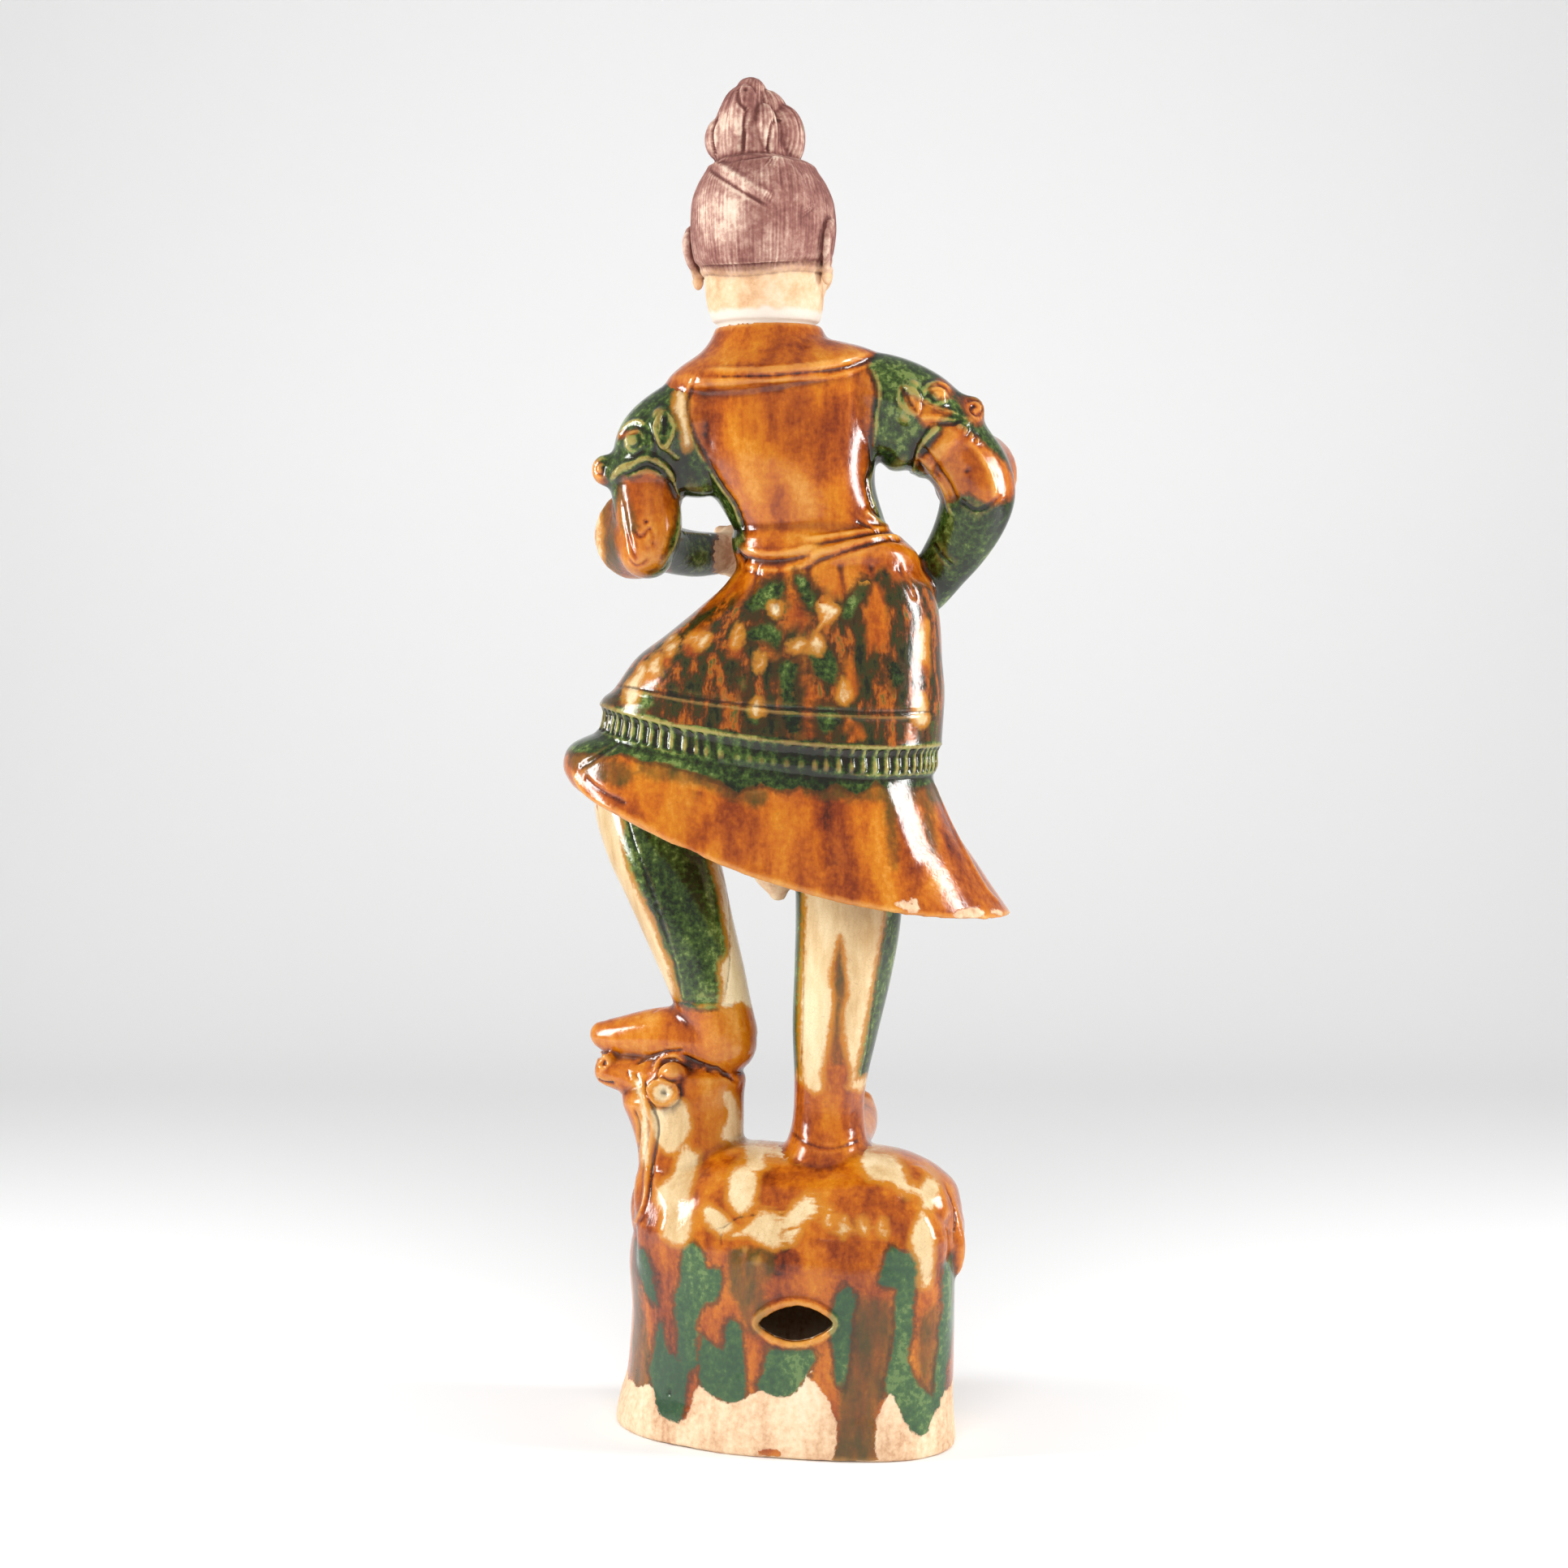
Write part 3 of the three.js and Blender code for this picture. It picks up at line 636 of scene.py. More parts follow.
def carve_masks(skin_):
    """Ears, brows, lids, mouths and rolled lips of the two shoulder beasts, back and front."""
    for side in (BACK, FRONT):
        skin_.press(LEFT_LIP, 2.6, 3.2, side)
        skin_.press([(x, z - 5) for x, z in LEFT_LIP[1:-1]], 1.6, -1.6, side)
        skin_.press(leaf((-86, 756), (-87, 730), 7), 1.5, 1.7, side)
        skin_.press([(-86, 752), (-87, 736)], 2.4, -2.2, side)
        skin_.press([(-88, 730), (-84, 727), (-75, 720)], 1.5, 1.6, side)
        skin_.press([(-121, 736), (-115, 745), (-107, 748), (-100, 745)], 1.9, 2.2, side)
        skin_.press([(-116, 732), (-112, 739), (-105, 740), (-101, 734)], 1.2, 1.4, side)
        skin_.press([(-116, 731), (-109, 726), (-101, 732)], 1.2, 1.2, side)
        skin_.dab((-109, 733), 2.0, 1.6, side)
        skin_.press([(-96, 741), (-93, 728), (-97, 719)], 1.4, -1.3, side)
        skin_.press(spiral((-134, 714), 6.5, 1.1, 0.6, 1), 1.3, -1.3, side)
        skin_.press(RIGHT_LIP, 2.6, 3.0, side)
        skin_.press([(109, 745), (122, 746), (131, 750)], 1.8, -1.6, side)
        skin_.press([(98, 750), (112, 750), (124, 748), (133, 751)], 1.6, 1.3, side)
        skin_.press(leaf((84, 774), (95, 754), 7), 1.5, 1.8, side)
        skin_.press([(87, 768), (93, 757)], 2.2, -2.0, side)
        skin_.press([(86, 773), (98, 764), (112, 757), (127, 753)], 1.3, 1.3, side)
        skin_.press([(99, 766), (104, 773), (112, 776), (121, 772)], 1.9, 2.0, side)
        skin_.press([(101, 766), (107, 771), (115, 770), (120, 764)], 1.1, 1.4, side)
        skin_.press([(101, 765), (110, 760), (120, 763)], 1.1, 1.2, side)
        skin_.dab((110, 766), 2.0, 1.5, side)
        skin_.press(spiral((140, 758), 8, 1.25, 2.6, -1), 1.4, -1.6, side)
        for k in range(4):
            skin_.dab((127 + 4.5 * k, 744 - 3.2 * k), 1.9, 2.2, side)


def carve_robe(skin_):
    """Borders, belt folds, the scored hem line, the ribbed band and the drawn-in waist."""
    for path in (PANEL_LEFT, PANEL_RIGHT):
        skin_.press(path, 1.5, -1.0)
        skin_.press([(x + math.copysign(2.5, x), z) for x, z in path], 2.0, 0.8)
    skin_.press(COLLAR_LIP, 1.3, -1.4)
    skin_.press([(x, z + 5) for x, z in COLLAR_LIP], 2.2, 1.2)
    skin_.press([(x, z - 4) for x, z in COLLAR_LIP[1:]], 1.8, 0.9)
    for shift, height in ((0, 1.8), (-7, -1.6), (7, -1.3), (12, 1.2)):
        skin_.press([(16, 650 + shift), (34, 655 + shift * 0.8), (56, 661 + shift * 0.6),
                     (74, 665 + shift * 0.45), (90, 664 + shift * 0.3)], 2.2, height)
    for shift, height in ((0, -1.6), (6, 1.6), (-6, 1.2)):
        skin_.press([(-30, 650 + shift), (-14, 646 + shift), (4, 647 + shift), (24, 652 + shift)], 2.0, height)
    skin_.press([(58, 683), (74, 673), (88, 668)], 2.6, 2.0)
    skin_.press([(52, 676), (70, 667), (86, 660)], 1.6, -1.4)
    for x, drop, lean in ((-18, 30, -4), (-2, 34, -2), (18, 28, 0), (40, 32, 3), (62, 30, 6), (82, 26, 7)):
        skin_.press([(x, 644), (x + lean, 644 - drop / 2), (x + 2 * lean, 644 - drop)], 3.0, -0.9)
    skin_.press(TUNIC_LINE, 1.2, -1.3)
    skin_.press([(x, z - 3) for x, z in TUNIC_LINE], 1.8, 0.7)
    skin_.press([(-116, 560), (116, 541)], 1.3, -1.1, FRONT)
    knot = [(-35, 655), (-31, 650), (-27, 646)]
    skin_.press(knot, 3.0, -2.2)


def band_level(x, y):
    """Height of the ribbed band's middle, which rises to the left and to the front."""
    u = np.clip((x + 11) / TUNIC_HALF, -1, 1)
    front = np.maximum((y - 6) / 88, 0)
    return 507.5 - 15 * u + 9.5 * u * u + 10 * front ** 2


def carve_band(skin_):
    """Upright ribs pressed round the band under the tunic's hem."""
    x, y, z = skin_.points.T
    middle = band_level(x, y)
    turn = np.arctan2((y - 6) / 83, (x + 11) / TUNIC_HALF)
    around = turn * 104
    jitter = wander(np.stack([around, around * 0, around * 0], axis=1), 21, 3.1)
    beat = np.cos(2 * math.pi * (around / 8.4 + 0.35 * jitter))
    level = ramp(9.5 - np.abs(z - middle), 0, 2.5)
    out = ramp(np.hypot((x + 11) / TUNIC_HALF, (y - 6) / 83), 0.9, 0.97)
    skin_.rise += level * out * (1.7 * np.clip(beat, -0.35, 0.6) - 0.5)
    for shift in (10.5, -10.0):
        skin_.rise += out * 0.9 * np.exp(-((z - middle - shift) / 1.6) ** 2)


def carve_skirt(skin_):
    """The rolled lip of the left lobe and the skirt's soft flutes; its chips are colour only."""
    skin_.press([(-154, 494), (-148, 482), (-136, 473), (-118, 465), (-96, 455)], 3.2, 1.8)
    skin_.press([(-146, 490), (-134, 481), (-112, 471)], 2.4, -1.2)
    skin_.press([(-119, 516), (-138, 503), (-150, 496)], 2.4, -1.2)
    for k, x in enumerate((-60, -20, 24, 70, 112)):
        foot = 1.25 * x + 6
        skin_.press([(x, 486), ((x + foot) / 2, 455), (foot, 425)], 9, (-1.6, 1.2, -1.4, 1.3, -1.5)[k])
    skin_.press([(108, 488), (124, 452), (146, 410), (160, 394)], 3.5, 1.4)


def carve_arms(skin_):
    """Sleeve folds, scored curves, pits and cuff bands."""
    skin_.press([(-111, 671), (-104, 664), (-97, 670), (-95, 657)], 1.1, -1.0)
    skin_.press([(-115, 650), (-107, 643), (-98, 648)], 1.2, -1.1)
    skin_.press([(-118, 690), (-114, 668), (-108, 646)], 2.4, -1.0)
    skin_.dab((-100, 675), 1.5, -1.4)
    skin_.press([(-80, 700), (-77, 680), (-80, 660), (-92, 640)], 2.4, 1.4)
    for z in (669, 634):
        skin_.press([(-76, z), (-56, z - 1)], 1.6, 1.3)
    skin_.press([(97, 726), (107, 713), (117, 700), (123, 681)], 2.6, 2.2)
    skin_.press([(100, 731), (111, 717), (121, 703), (127, 690)], 1.6, -1.2)
    skin_.press([(110, 662), (116, 652), (124, 644)], 1.2, -1.1)
    skin_.press([(131, 736), (142, 724), (151, 706), (154, 692)], 3.0, 1.4)
    skin_.press([(128, 692), (142, 684), (158, 694)], 1.6, -1.0)
    skin_.dab((133, 712), 1.5, -1.2)


def carve_legs(skin_):
    """Scored edges of the trouser panels, boot seams and the luting line on the bull's nape."""
    skin_.press([(-119, 464), (-112, 440), (-92, 386), (-80, 345), (-77, 323)], 1.1, -0.9)
    skin_.press([(-49, 420), (-42, 396), (-40, 352), (-44, 322)], 1.1, -0.9)
    skin_.press([(14, 395), (14, 320), (12, 272)], 1.1, -0.8)
    skin_.press([(76, 390), (68, 345), (62, 291), (57, 268)], 1.1, -0.8)
    skin_.press([(-100, 309), (-84, 318), (-60, 322), (-34, 318)], 2.4, -0.7)
    skin_.press([(-74, 280), (-63, 275), (-49, 270), (-35, 259)], 1.5, -1.6)
    for spot in ((-62, 273), (-56, 270), (-50, 271), (-45, 266)):
        skin_.dab(spot, 1.7, -1.6)
    skin_.press([(-112, 271), (-92, 281), (-74, 285)], 1.4, -1.2)
    skin_.press([(2, 228), (16, 221), (36, 218), (58, 222)], 1.8, -0.9)


def carve_bull(skin_):
    """Eyes, nostrils, mouth, ears, dewlap folds, tail strands, cracks and tooled lumps."""
    for side in (BACK, FRONT):
        skin_.press([(-97, 268), (-91, 277), (-81, 280), (-73, 274)], 2.4, 2.0, side)
        skin_.press([(-93, 266), (-86, 260), (-77, 262)], 1.6, 1.3, side)
        skin_.dab(BULL_EYE, 5.0, 2.4, side)
        ring = [(BULL_EAR[0] + 10.5 * math.cos(a), BULL_EAR[1] + 8.2 * math.sin(a))
                for a in np.linspace(0, 2 * math.pi, 19)]
        skin_.press(ring, 2.0, 2.8, side, fade=False)
        skin_.dab((BULL_EAR[0] + 1, BULL_EAR[1]), 4.6, -4.6, side)
        skin_.press([(-112, 266), (-107, 259), (-106, 252)], 1.4, -1.2, side)
        skin_.press([(-118, 268), (-115, 260)], 1.2, -0.9, side)
        ring = [(-136 + 4.2 * math.cos(a), 272 + 4.4 * math.sin(a)) for a in np.linspace(0, 6.28, 13)]
        skin_.press(ring, 1.3, 1.3, side, fade=False)
        skin_.dab((-136, 272), 2.6, -3.4, side)
        skin_.press([(-141, 258), (-134, 256), (-127, 257)], 1.5, -2.2, side)
        skin_.press([(-108, 261), (-102, 246), (-97, 227), (-101, 203), (-103, 175), (-112, 152)], 2.6, 2.2, side)
        skin_.press([(-104, 261), (-98, 245), (-93, 227), (-97, 203), (-99, 178)], 1.6, -1.5, side)
        skin_.press([(-112, 240), (-108, 226), (-110, 203), (-112, 178)], 1.8, -1.3, side)
    skin_.press([(118, 190), (125, 172), (124, 150)], 1.2, -1.0)
    skin_.press([(-50, 162), (-42, 166), (-33, 172), (-18, 175)], 0.9, -1.0)
    skin_.press([(-42, 166), (-46, 158), (-44, 150)], 0.9, -0.8)
    skin_.dab((-20, 143), 6, 1.8)
    skin_.dab((-28, 150), 4, 1.2)
    skin_.press([(96, 205), (112, 190), (119, 168)], 7, 1.6)
    skin_.press([(84, 190), (96, 170), (98, 148)], 6, -1.2)
    skin_.press([(-98, 192), (-86, 172), (-90, 150)], 6, 1.4)


def carve_plinth(skin_):
    """Uneven throwing, the pinched vent rim and nicks in the bare foot."""
    low = skin_.points[:, 2] < 160
    spots = skin_.points[low]
    skin_.rise[low] += 0.9 * wander(spots, 46, 1.7) + 0.35 * wander(spots, 15, 4.2)
    skin_.press(VENT_RIM, 2.6, 1.6, BACK, fade=False)
    for spot in ((-108, 12), (-62, 6), (-20, 24), (28, 8), (88, 14), (-84, 38)):
        skin_.dab(spot, 2.2, -0.9)


def carve_front(skin_):
    """The hidden front: plaque rims, lapels, belt ends, apron edge and fingers kept plain."""
    for x in (-31, 27):
        ring = [(x + 21 * math.cos(a), 741 + 21 * math.sin(a)) for a in np.linspace(0, 2 * math.pi, 33)]
        skin_.press(ring, 1.9, 1.8, FRONT, fade=False)
        inner = [(x + 12 * math.cos(a), 741 + 12 * math.sin(a)) for a in np.linspace(0, 2 * math.pi, 25)]
        skin_.press(inner, 1.4, -1.0, FRONT, fade=False)
        skin_.dab((x, 741), 6, 2.0, FRONT)
    skin_.press([(-2, 778), (-2, 740), (2, 700), (14, 668)], 2.2, 2.0, FRONT)
    skin_.press([(-40, 700), (-14, 694), (14, 692), (44, 700)], 2.0, 1.6, FRONT)
    skin_.press([(-34, 656), (-6, 650), (10, 650)], 1.8, -1.4, FRONT)
    skin_.press([(38, 650), (62, 655), (88, 662)], 1.8, -1.4, FRONT)
    for edge in (-1, 1):
        skin_.press([(22 + edge * 17, 640), (16 + edge * 20, 600), (10 + edge * 23, 555),
                     (8 + edge * 25, 512)], 1.6, 1.3, FRONT)
    for z in (600, 570, 540, 512):
        skin_.press([(-12 + (600 - z) * -0.06, z), (38 - (600 - z) * 0.06, z)], 1.4, -0.8, FRONT)
    for x in (-80, -52, 60, 84):
        skin_.press([(x, 640), (x * 1.15, 590), (x * 1.25, 548)], 5, -1.4, FRONT)


def body_parts():
    """The body's shapes by the coat that each one wears."""
    left_flare, left_mouth = left_cuff_shapes()
    right_flare, right_mouth = right_cuff_shapes()
    left_leg, right_leg = leg_shapes()
    left_boot, right_boot = boot_shapes()
    left_arm, left_forearm = left_arm_shapes()
    hands = hand_shapes()
    return {
        "plinth": [plinth_shape()],
        "bull": bull_shapes(),
        "left_leg": [left_leg],
        "right_leg": [right_leg],
        "left_boot": [left_boot],
        "right_boot": [right_boot],
        "robe": [robe_shape()],
        "collar": [collar_shape()],
        "left_arm": [left_arm, *mask_shapes(-1, (-88, 742), (-109, 734), (-131, 0, 714)), armpit_webs()[0]],
        "left_cuff": [left_flare],
        "forearm": [left_forearm],
        "right_arm": [*right_arm_shapes(), *mask_shapes(1, (91, 762), (111, 767), (137, 0, 757)),
                      armpit_webs()[1]],
        "right_cuff": [right_flare],
        "hand": hands,
        "loincloth": [loincloth_shape()],
        "apron": [apron_shape(), egg((24, 53, 652), (17, 8, 13))],
        "plaques": [egg((x, 52, 741), (25, 13, 25)) for x in (-31, 27)],
        "muzzle": [egg((-83, -3, 267), (11, 8, 9)), egg((-83, 47, 267), (11, 8, 9)),
                   egg((-90, -7, 253), (12, 6, 9), (0, 0.3, -0.3)),
                   egg((-90, 49, 253), (12, 6, 9), (0, 0.3, 0.3)),
                   egg((-133, 25, 272), (6, 5, 6)), egg((-133, 43, 272), (6, 5, 6))],
        "skirt_inside": [under_skirt()],
        "inside": [plinth_hollow()],
        "vent": [vent_shape()],
        "socket": [socket_shape()],
        "cuff_inside": [left_mouth, right_mouth],
    }


LARGE = ("plinth", "bull", "left_leg", "right_leg", "left_boot", "right_boot", "robe", "collar",
         "left_arm", "left_cuff", "forearm", "right_arm", "right_cuff", "loincloth")
SMALL = ("left_leg", "right_leg", "loincloth", "hand", "apron", "plaques", "muzzle")
HOLLOWS = ("inside", "socket", "cuff_inside")


def copies(parts, names):
    return [shape.copy() for name in names for shape in parts[name]]


def body_mesh(parts):
    """The warrior, bull and plinth as one fired skin."""
    first = clay(gather(copies(parts, LARGE), "large"), BODY_VOXEL * 1.25, 7)
    hollowed = cut(first, copies(parts, ["skirt_inside"]))
    work = bmesh.new()
    work.from_mesh(hollowed)
    second = clay(gather([work, *copies(parts, SMALL)], "second"), BODY_VOXEL, 3)
    third = cut(cut(second, copies(parts, HOLLOWS)), copies(parts, ["vent"]))
    return clay(third, BODY_VOXEL, 2)


# Head, made facing +Y about its own axis, then turned and set in the collar

TO_HEAD = (Matrix.Translation(HEAD_PLACE) @ Matrix.Rotation(HEAD_TURN, 4, "Z")).inverted()


def as_head(shape):
    """A shape given about the figure's axis, brought into the head's own space."""
    bmesh.ops.transform(shape, verts=shape.verts, matrix=TO_HEAD)
    return shape


def neck_shape():
    return stack([
        [SOCKET_FLOOR + SEAT_GAP, NECK_AXIS[0], -1, NECK_HALF, 33, 32],
        [COLLAR_TOP + SEAT_GAP, NECK_AXIS[0], -1, NECK_HALF, 33, 32],
        [COLLAR_TOP + 3, NECK_AXIS[0], -1, NECK_HALF + 4, 35, 35],
        [838, -14, -1, NECK_HALF + 8, 35, 39],
        [862, -15, -1, NECK_HALF + 9, 35, 46],
    ], sides=90)


def skull_shapes():
    skull = stack([
        [824, 0, 38, 14, 13, 12],
        [831, 0, 28, 28, 27, 26],
        [843, 0, 13, 40, 43, 42],
        [857, 0, 5, 46, 52, 53],
        [873, 0, 2, 49, 56, 58],
        [890, 0, 1, 50, 57, 60],
        [907, 0, 0, 49, 55, 57],
        [917, 0, -1, 42, 45, 50],
    ], sides=90, ends=(3, 0))
    hair = stack([
        [858, 0, 0, 45, 50, 55, 0, 5, 46],
        [862, 0, 1, 49.5, 56.5, 58.5, 0, 4.5, 45],
        [870, 0, 1, 51, 57.5, 60, 0, 3, 42],
        [888, 0, 1, 52.5, 57, 62, 0, 0, 30],
        [905, 0, 0, 51.5, 54, 61, 0, 0, 18],
        [919, 0, -1, 47, 49, 56, 0, 0, 10],
        [931, 0, -2, 40, 41, 47, 0, 0, 3],
    ], sides=90, ends=(0, 11))
    return [skull, hair]


def topknot_shapes():
    shapes = [
        limb([
            [-19, 2, 920, 32, 32],
            [-21, 2, 936, 29, 28],
            [-25, 2, 952, 28, 27],
            [-27, 2, 966, 25, 25],
            [-27, 2, 980, 18, 20],
            [-24, 2, 990, 11, 12],
        ], sides=72, ends=(0, TOP - 990)),
        egg((-46, 1, 955), (12, 16, 16)),
        egg((-30, -12, 966), (12, 14, 27), (0, 0.08, 0)),
        egg((-13, -14, 957), (9.5, 13, 22), (0, -0.1, 0)),
        egg((1, 1, 957), (14.5, 18, 23), (0, -0.1, 0)),
        egg((-11, 4, 974), (14, 15, 18), (0, -0.4, 0)),
    ]
    return [as_head(shape) for shape in shapes]


def face_shapes():
    """Calm, even features: eyes halfway up the head, nose and mouth in equal thirds below."""
    shapes = [
        limb([[0, 51, 891, 5, 5], [0, 55.5, 880, 4.6, 5], [0, 60.5, 869, 5.6, 6], [0, 61.5, 865, 6.2, 5.4]],
             sides=24, ends=(3, 3)),
        egg((0, 53.5, 851.6), (10, 6, 2.8)),
        egg((0, 53, 846.2), (8.5, 6, 3.2)),
        egg((0, 44, 833), (14, 12, 10)),
    ]
    for side in (-1, 1):
        shapes += [
            egg((side * 5.8, 57, 865), (3.8, 5.5, 3.6)),
            egg((side * 19, 46.8, 878.5), (11.5, 8, 6.8), (0, 0, side * -0.2)),
            egg((side * 24, 38, 860), (16, 15, 16)),
            egg((side * 50, -5, 872), (3.2, 9, 16), (0, side * -0.1, side * 0.2)),
            egg((side * 50.5, -3, 855), (4, 6, 8)),
            limb([[side * 50, -3, 858, 2.6, 2.6], [side * 53, -12, 866, 2.8, 2.8],
                  [side * 55, -15, 878, 2.9, 2.9], [side * 55, -10, 889, 3, 3],
                  [side * 53, -1, 892, 2.8, 2.8], [side * 51, 5, 885, 2.4, 2.4]],
                 sides=16, depth=(1, 0, 0), ends=(3, 3)),
        ]
    return shapes


def carve_face(skin_):
    """Lids, brows, lip line, philtrum and ears, cut and rolled in the soft clay."""
    for side in (-1, 1):
        eye = [(side * x, z) for x, z in ((7.5, 877), (13, 882.2), (20, 883.6), (27, 881), (31.5, 877.5))]
        skin_.press(eye, 1.2, 1.1, FRONT)
        skin_.press([(x, z + 2.8) for x, z in eye[1:]], 1.1, -0.8, FRONT)
        lower = [(side * x, z) for x, z in ((7.5, 877), (14, 873.6), (22, 873.6), (31, 877))]
        skin_.press(lower, 1.1, 0.9, FRONT)
        brow = [(side * x, z) for x, z in ((6, 888.5), (15, 893.5), (26, 894), (36, 888.5))]
        skin_.press(brow, 2.1, 1.5, FRONT)
        skin_.press([(x, z - 4) for x, z in brow], 2.2, -1.0, FRONT)
        skin_.press([(side * 9.5, 866), (side * 15, 858), (side * 16.5, 851)], 2.6, -0.6, FRONT)
        skin_.dab((side * 3.0, 861.8), 1.5, -1.3, FRONT)
        skin_.dab((side * 13.5, 849), 1.7, -1.0, FRONT)
        skin_.press([(side * 51, -2, 884), (side * 52, -8, 878), (side * 52, -7, 868)], 2.0, -1.5)
    skin_.press([(-12, 849.6), (-5, 849.2), (0, 848.4), (5, 849.2), (12, 849.6)], 1.0, -1.5, FRONT)
    skin_.press([(0, 860), (0, 854.5)], 1.7, -0.8, FRONT)
    skin_.press([(-8, 841.5), (0, 840.6), (8, 841.5)], 2.4, -0.9, FRONT)


def hairline(y):
    """Height of the hair's lower edge, low at the nape and high over the brow."""
    return 857.5 + 46 * np.maximum(y / 55, 0) ** 2 - 7 * np.exp(-((y + 55) / 16) ** 2)


def carve_hair(skin_):
    """Combed lines drawn up to the knot, a raised hairline, crossing locks and lobed strands."""
    x, y, z = skin_.points.T
    knot_x, knot_y = -4.0, 2.0
    turn = np.arctan2(y - knot_y, x - knot_x)
    lift = z - hairline(y)
    on_hair = ramp(lift, -1, 2)
    wave = wander(skin_.points, 26, 8.3)
    fine = wander(np.stack([turn * 46, z * 0.05, y * 0], axis=1), 1.25, 2.2)
    broad = wander(np.stack([turn * 46, z * 0.04, y * 0], axis=1), 3.4, 5.9)
    combed = on_hair * ramp(940 - z, 0, 4)
    skin_.rise += combed * (0.34 * fine + 0.42 * broad) * (0.75 + 0.4 * wave)
    lobes = ramp(z, 937, 942)
    flute = wander(np.stack([turn * 26, z * 0.06, y * 0], axis=1), 2.0, 9.1)
    skin_.rise += lobes * 0.55 * flute
    edge = np.exp(-((lift - 1) / 1.8) ** 2) * ramp(60 - np.abs(z - 880), 0, 20)
    skin_.rise += 0.55 * edge
    skin_.rise -= 0.5 * np.exp(-((lift + 2.4) / 1.3) ** 2) * (z > 846)
    skin_.press([(-24, 934), (-10, 926), (8, 915), (26, 904)], 3.4, 2.6)
    skin_.press([(-27, 929), (-12, 920), (6, 909), (22, 899)], 1.6, -1.4)
    skin_.press([(20, 934), (33, 926), (41, 912), (46, 896)], 7, 2.4)
    for path in ([(-2, 974), (-4, 958), (-5, 942)], [(-29, 972), (-31, 958), (-30, 942)],
                 [(16, 968), (14, 955), (11, 942)], [(-12, 990), (-8, 978), (-2, 972)]):
        skin_.press(path, 1.9, -2.0)
    skin_.press([(-34, 938), (-12, 934), (10, 936), (24, 940)], 3.2, -2.0)
    skin_.press([(-30, 938), (-8, 935), (14, 937)], 3.0, -1.8, FRONT)
    for path in ([(-10, 985), (-13, 962), (-11, 942)], [(8, 984), (11, 962), (10, 942)]):
        skin_.press(path, 2.0, -1.6, FRONT)
    skin_.dab((-5, 988), 2.2, -1.8)


def head_mesh():
    """The head in its own space, carved, then turned into place."""
    shapes = [as_head(neck_shape()), *skull_shapes(), *topknot_shapes(), *face_shapes()]
    mesh = clay(gather(shapes, "head"), HEAD_VOXEL, 5)
    skin_ = Surface(mesh)
    carve_face(skin_)
    carve_hair(skin_)
    skin_.settle()
    own = skin_.points.copy()
    mesh.transform(TO_HEAD.inverted())
    return mesh, own


# Where each glaze lies. Distances are in millimetres, negative inside; runs are
# (x, z at the top, x, z at the tip, half width at the top, half width at the tip).

BACK_PANEL = [(-63, 800), *PANEL_LEFT, (-34, 640), (40, 625), (104, 640), (84, 668), *PANEL_RIGHT[::-1], (60, 806)]
BACK_DARK = [[(-4, 768), (13, 765), (39, 767), (52, 766), (56, 742), (52, 725), (39, 707), (26, 701), (11, 711),
              (2, 726), (5, 741)], [(-62, 756), (-48, 752), (-40, 730), (-30, 700), (-44, 706), (-60, 735)]]
BACK_LIGHT = [[(-40, 742), (-17, 733), (0, 724), (5, 711), (13, 705), (-4, 699), (-17, 690), (-8, 677), (0, 660),
               (-15, 668), (-26, 695), (-39, 716)], [(-30, 815), (5, 813), (-34, 792), (-52, 787)]]
LEFT_LOBE = [(-121, 708), (-109, 709), (-98, 713), (-87, 708), (-81, 700), (-76, 691), (-79, 678), (-83, 658),
             (-92, 640), (-110, 630), (-125, 636), (-131, 657), (-126, 679)]
RIGHT_SLEEVE = [(94, 722), (103, 728), (111, 742), (118, 747), (129, 745), (142, 737), (154, 727), (166, 716),
                (172, 702), (166, 691), (149, 686), (134, 695), (123, 690), (116, 690), (106, 708), (98, 716)]
RIGHT_MASK = [[(84, 774), (93, 766), (104, 762), (113, 758), (124, 755), (113, 746), (102, 742), (96, 749),
               (89, 757), (85, 766)], [(102, 770), (112, 780), (123, 776), (122, 765), (112, 763)],
              [(124, 768), (138, 768), (148, 760), (147, 748), (137, 745), (131, 756)]]
LEG_PANEL = [(-126, 480), (-121, 433), (-113, 411), (-102, 385), (-90, 357), (-83, 335), (-79, 321), (-68, 317),
             (-50, 318), (-45, 327), (-48, 346), (-41, 359), (-44, 381), (-49, 406), (-53, 423), (-62, 480)]
LEG_STRIPE = [(42, 379), (37, 368), (33, 343), (35, 322), (32, 294), (28, 262), (50, 262), (47, 282), (44, 307),
              (47, 337), (45, 365)]
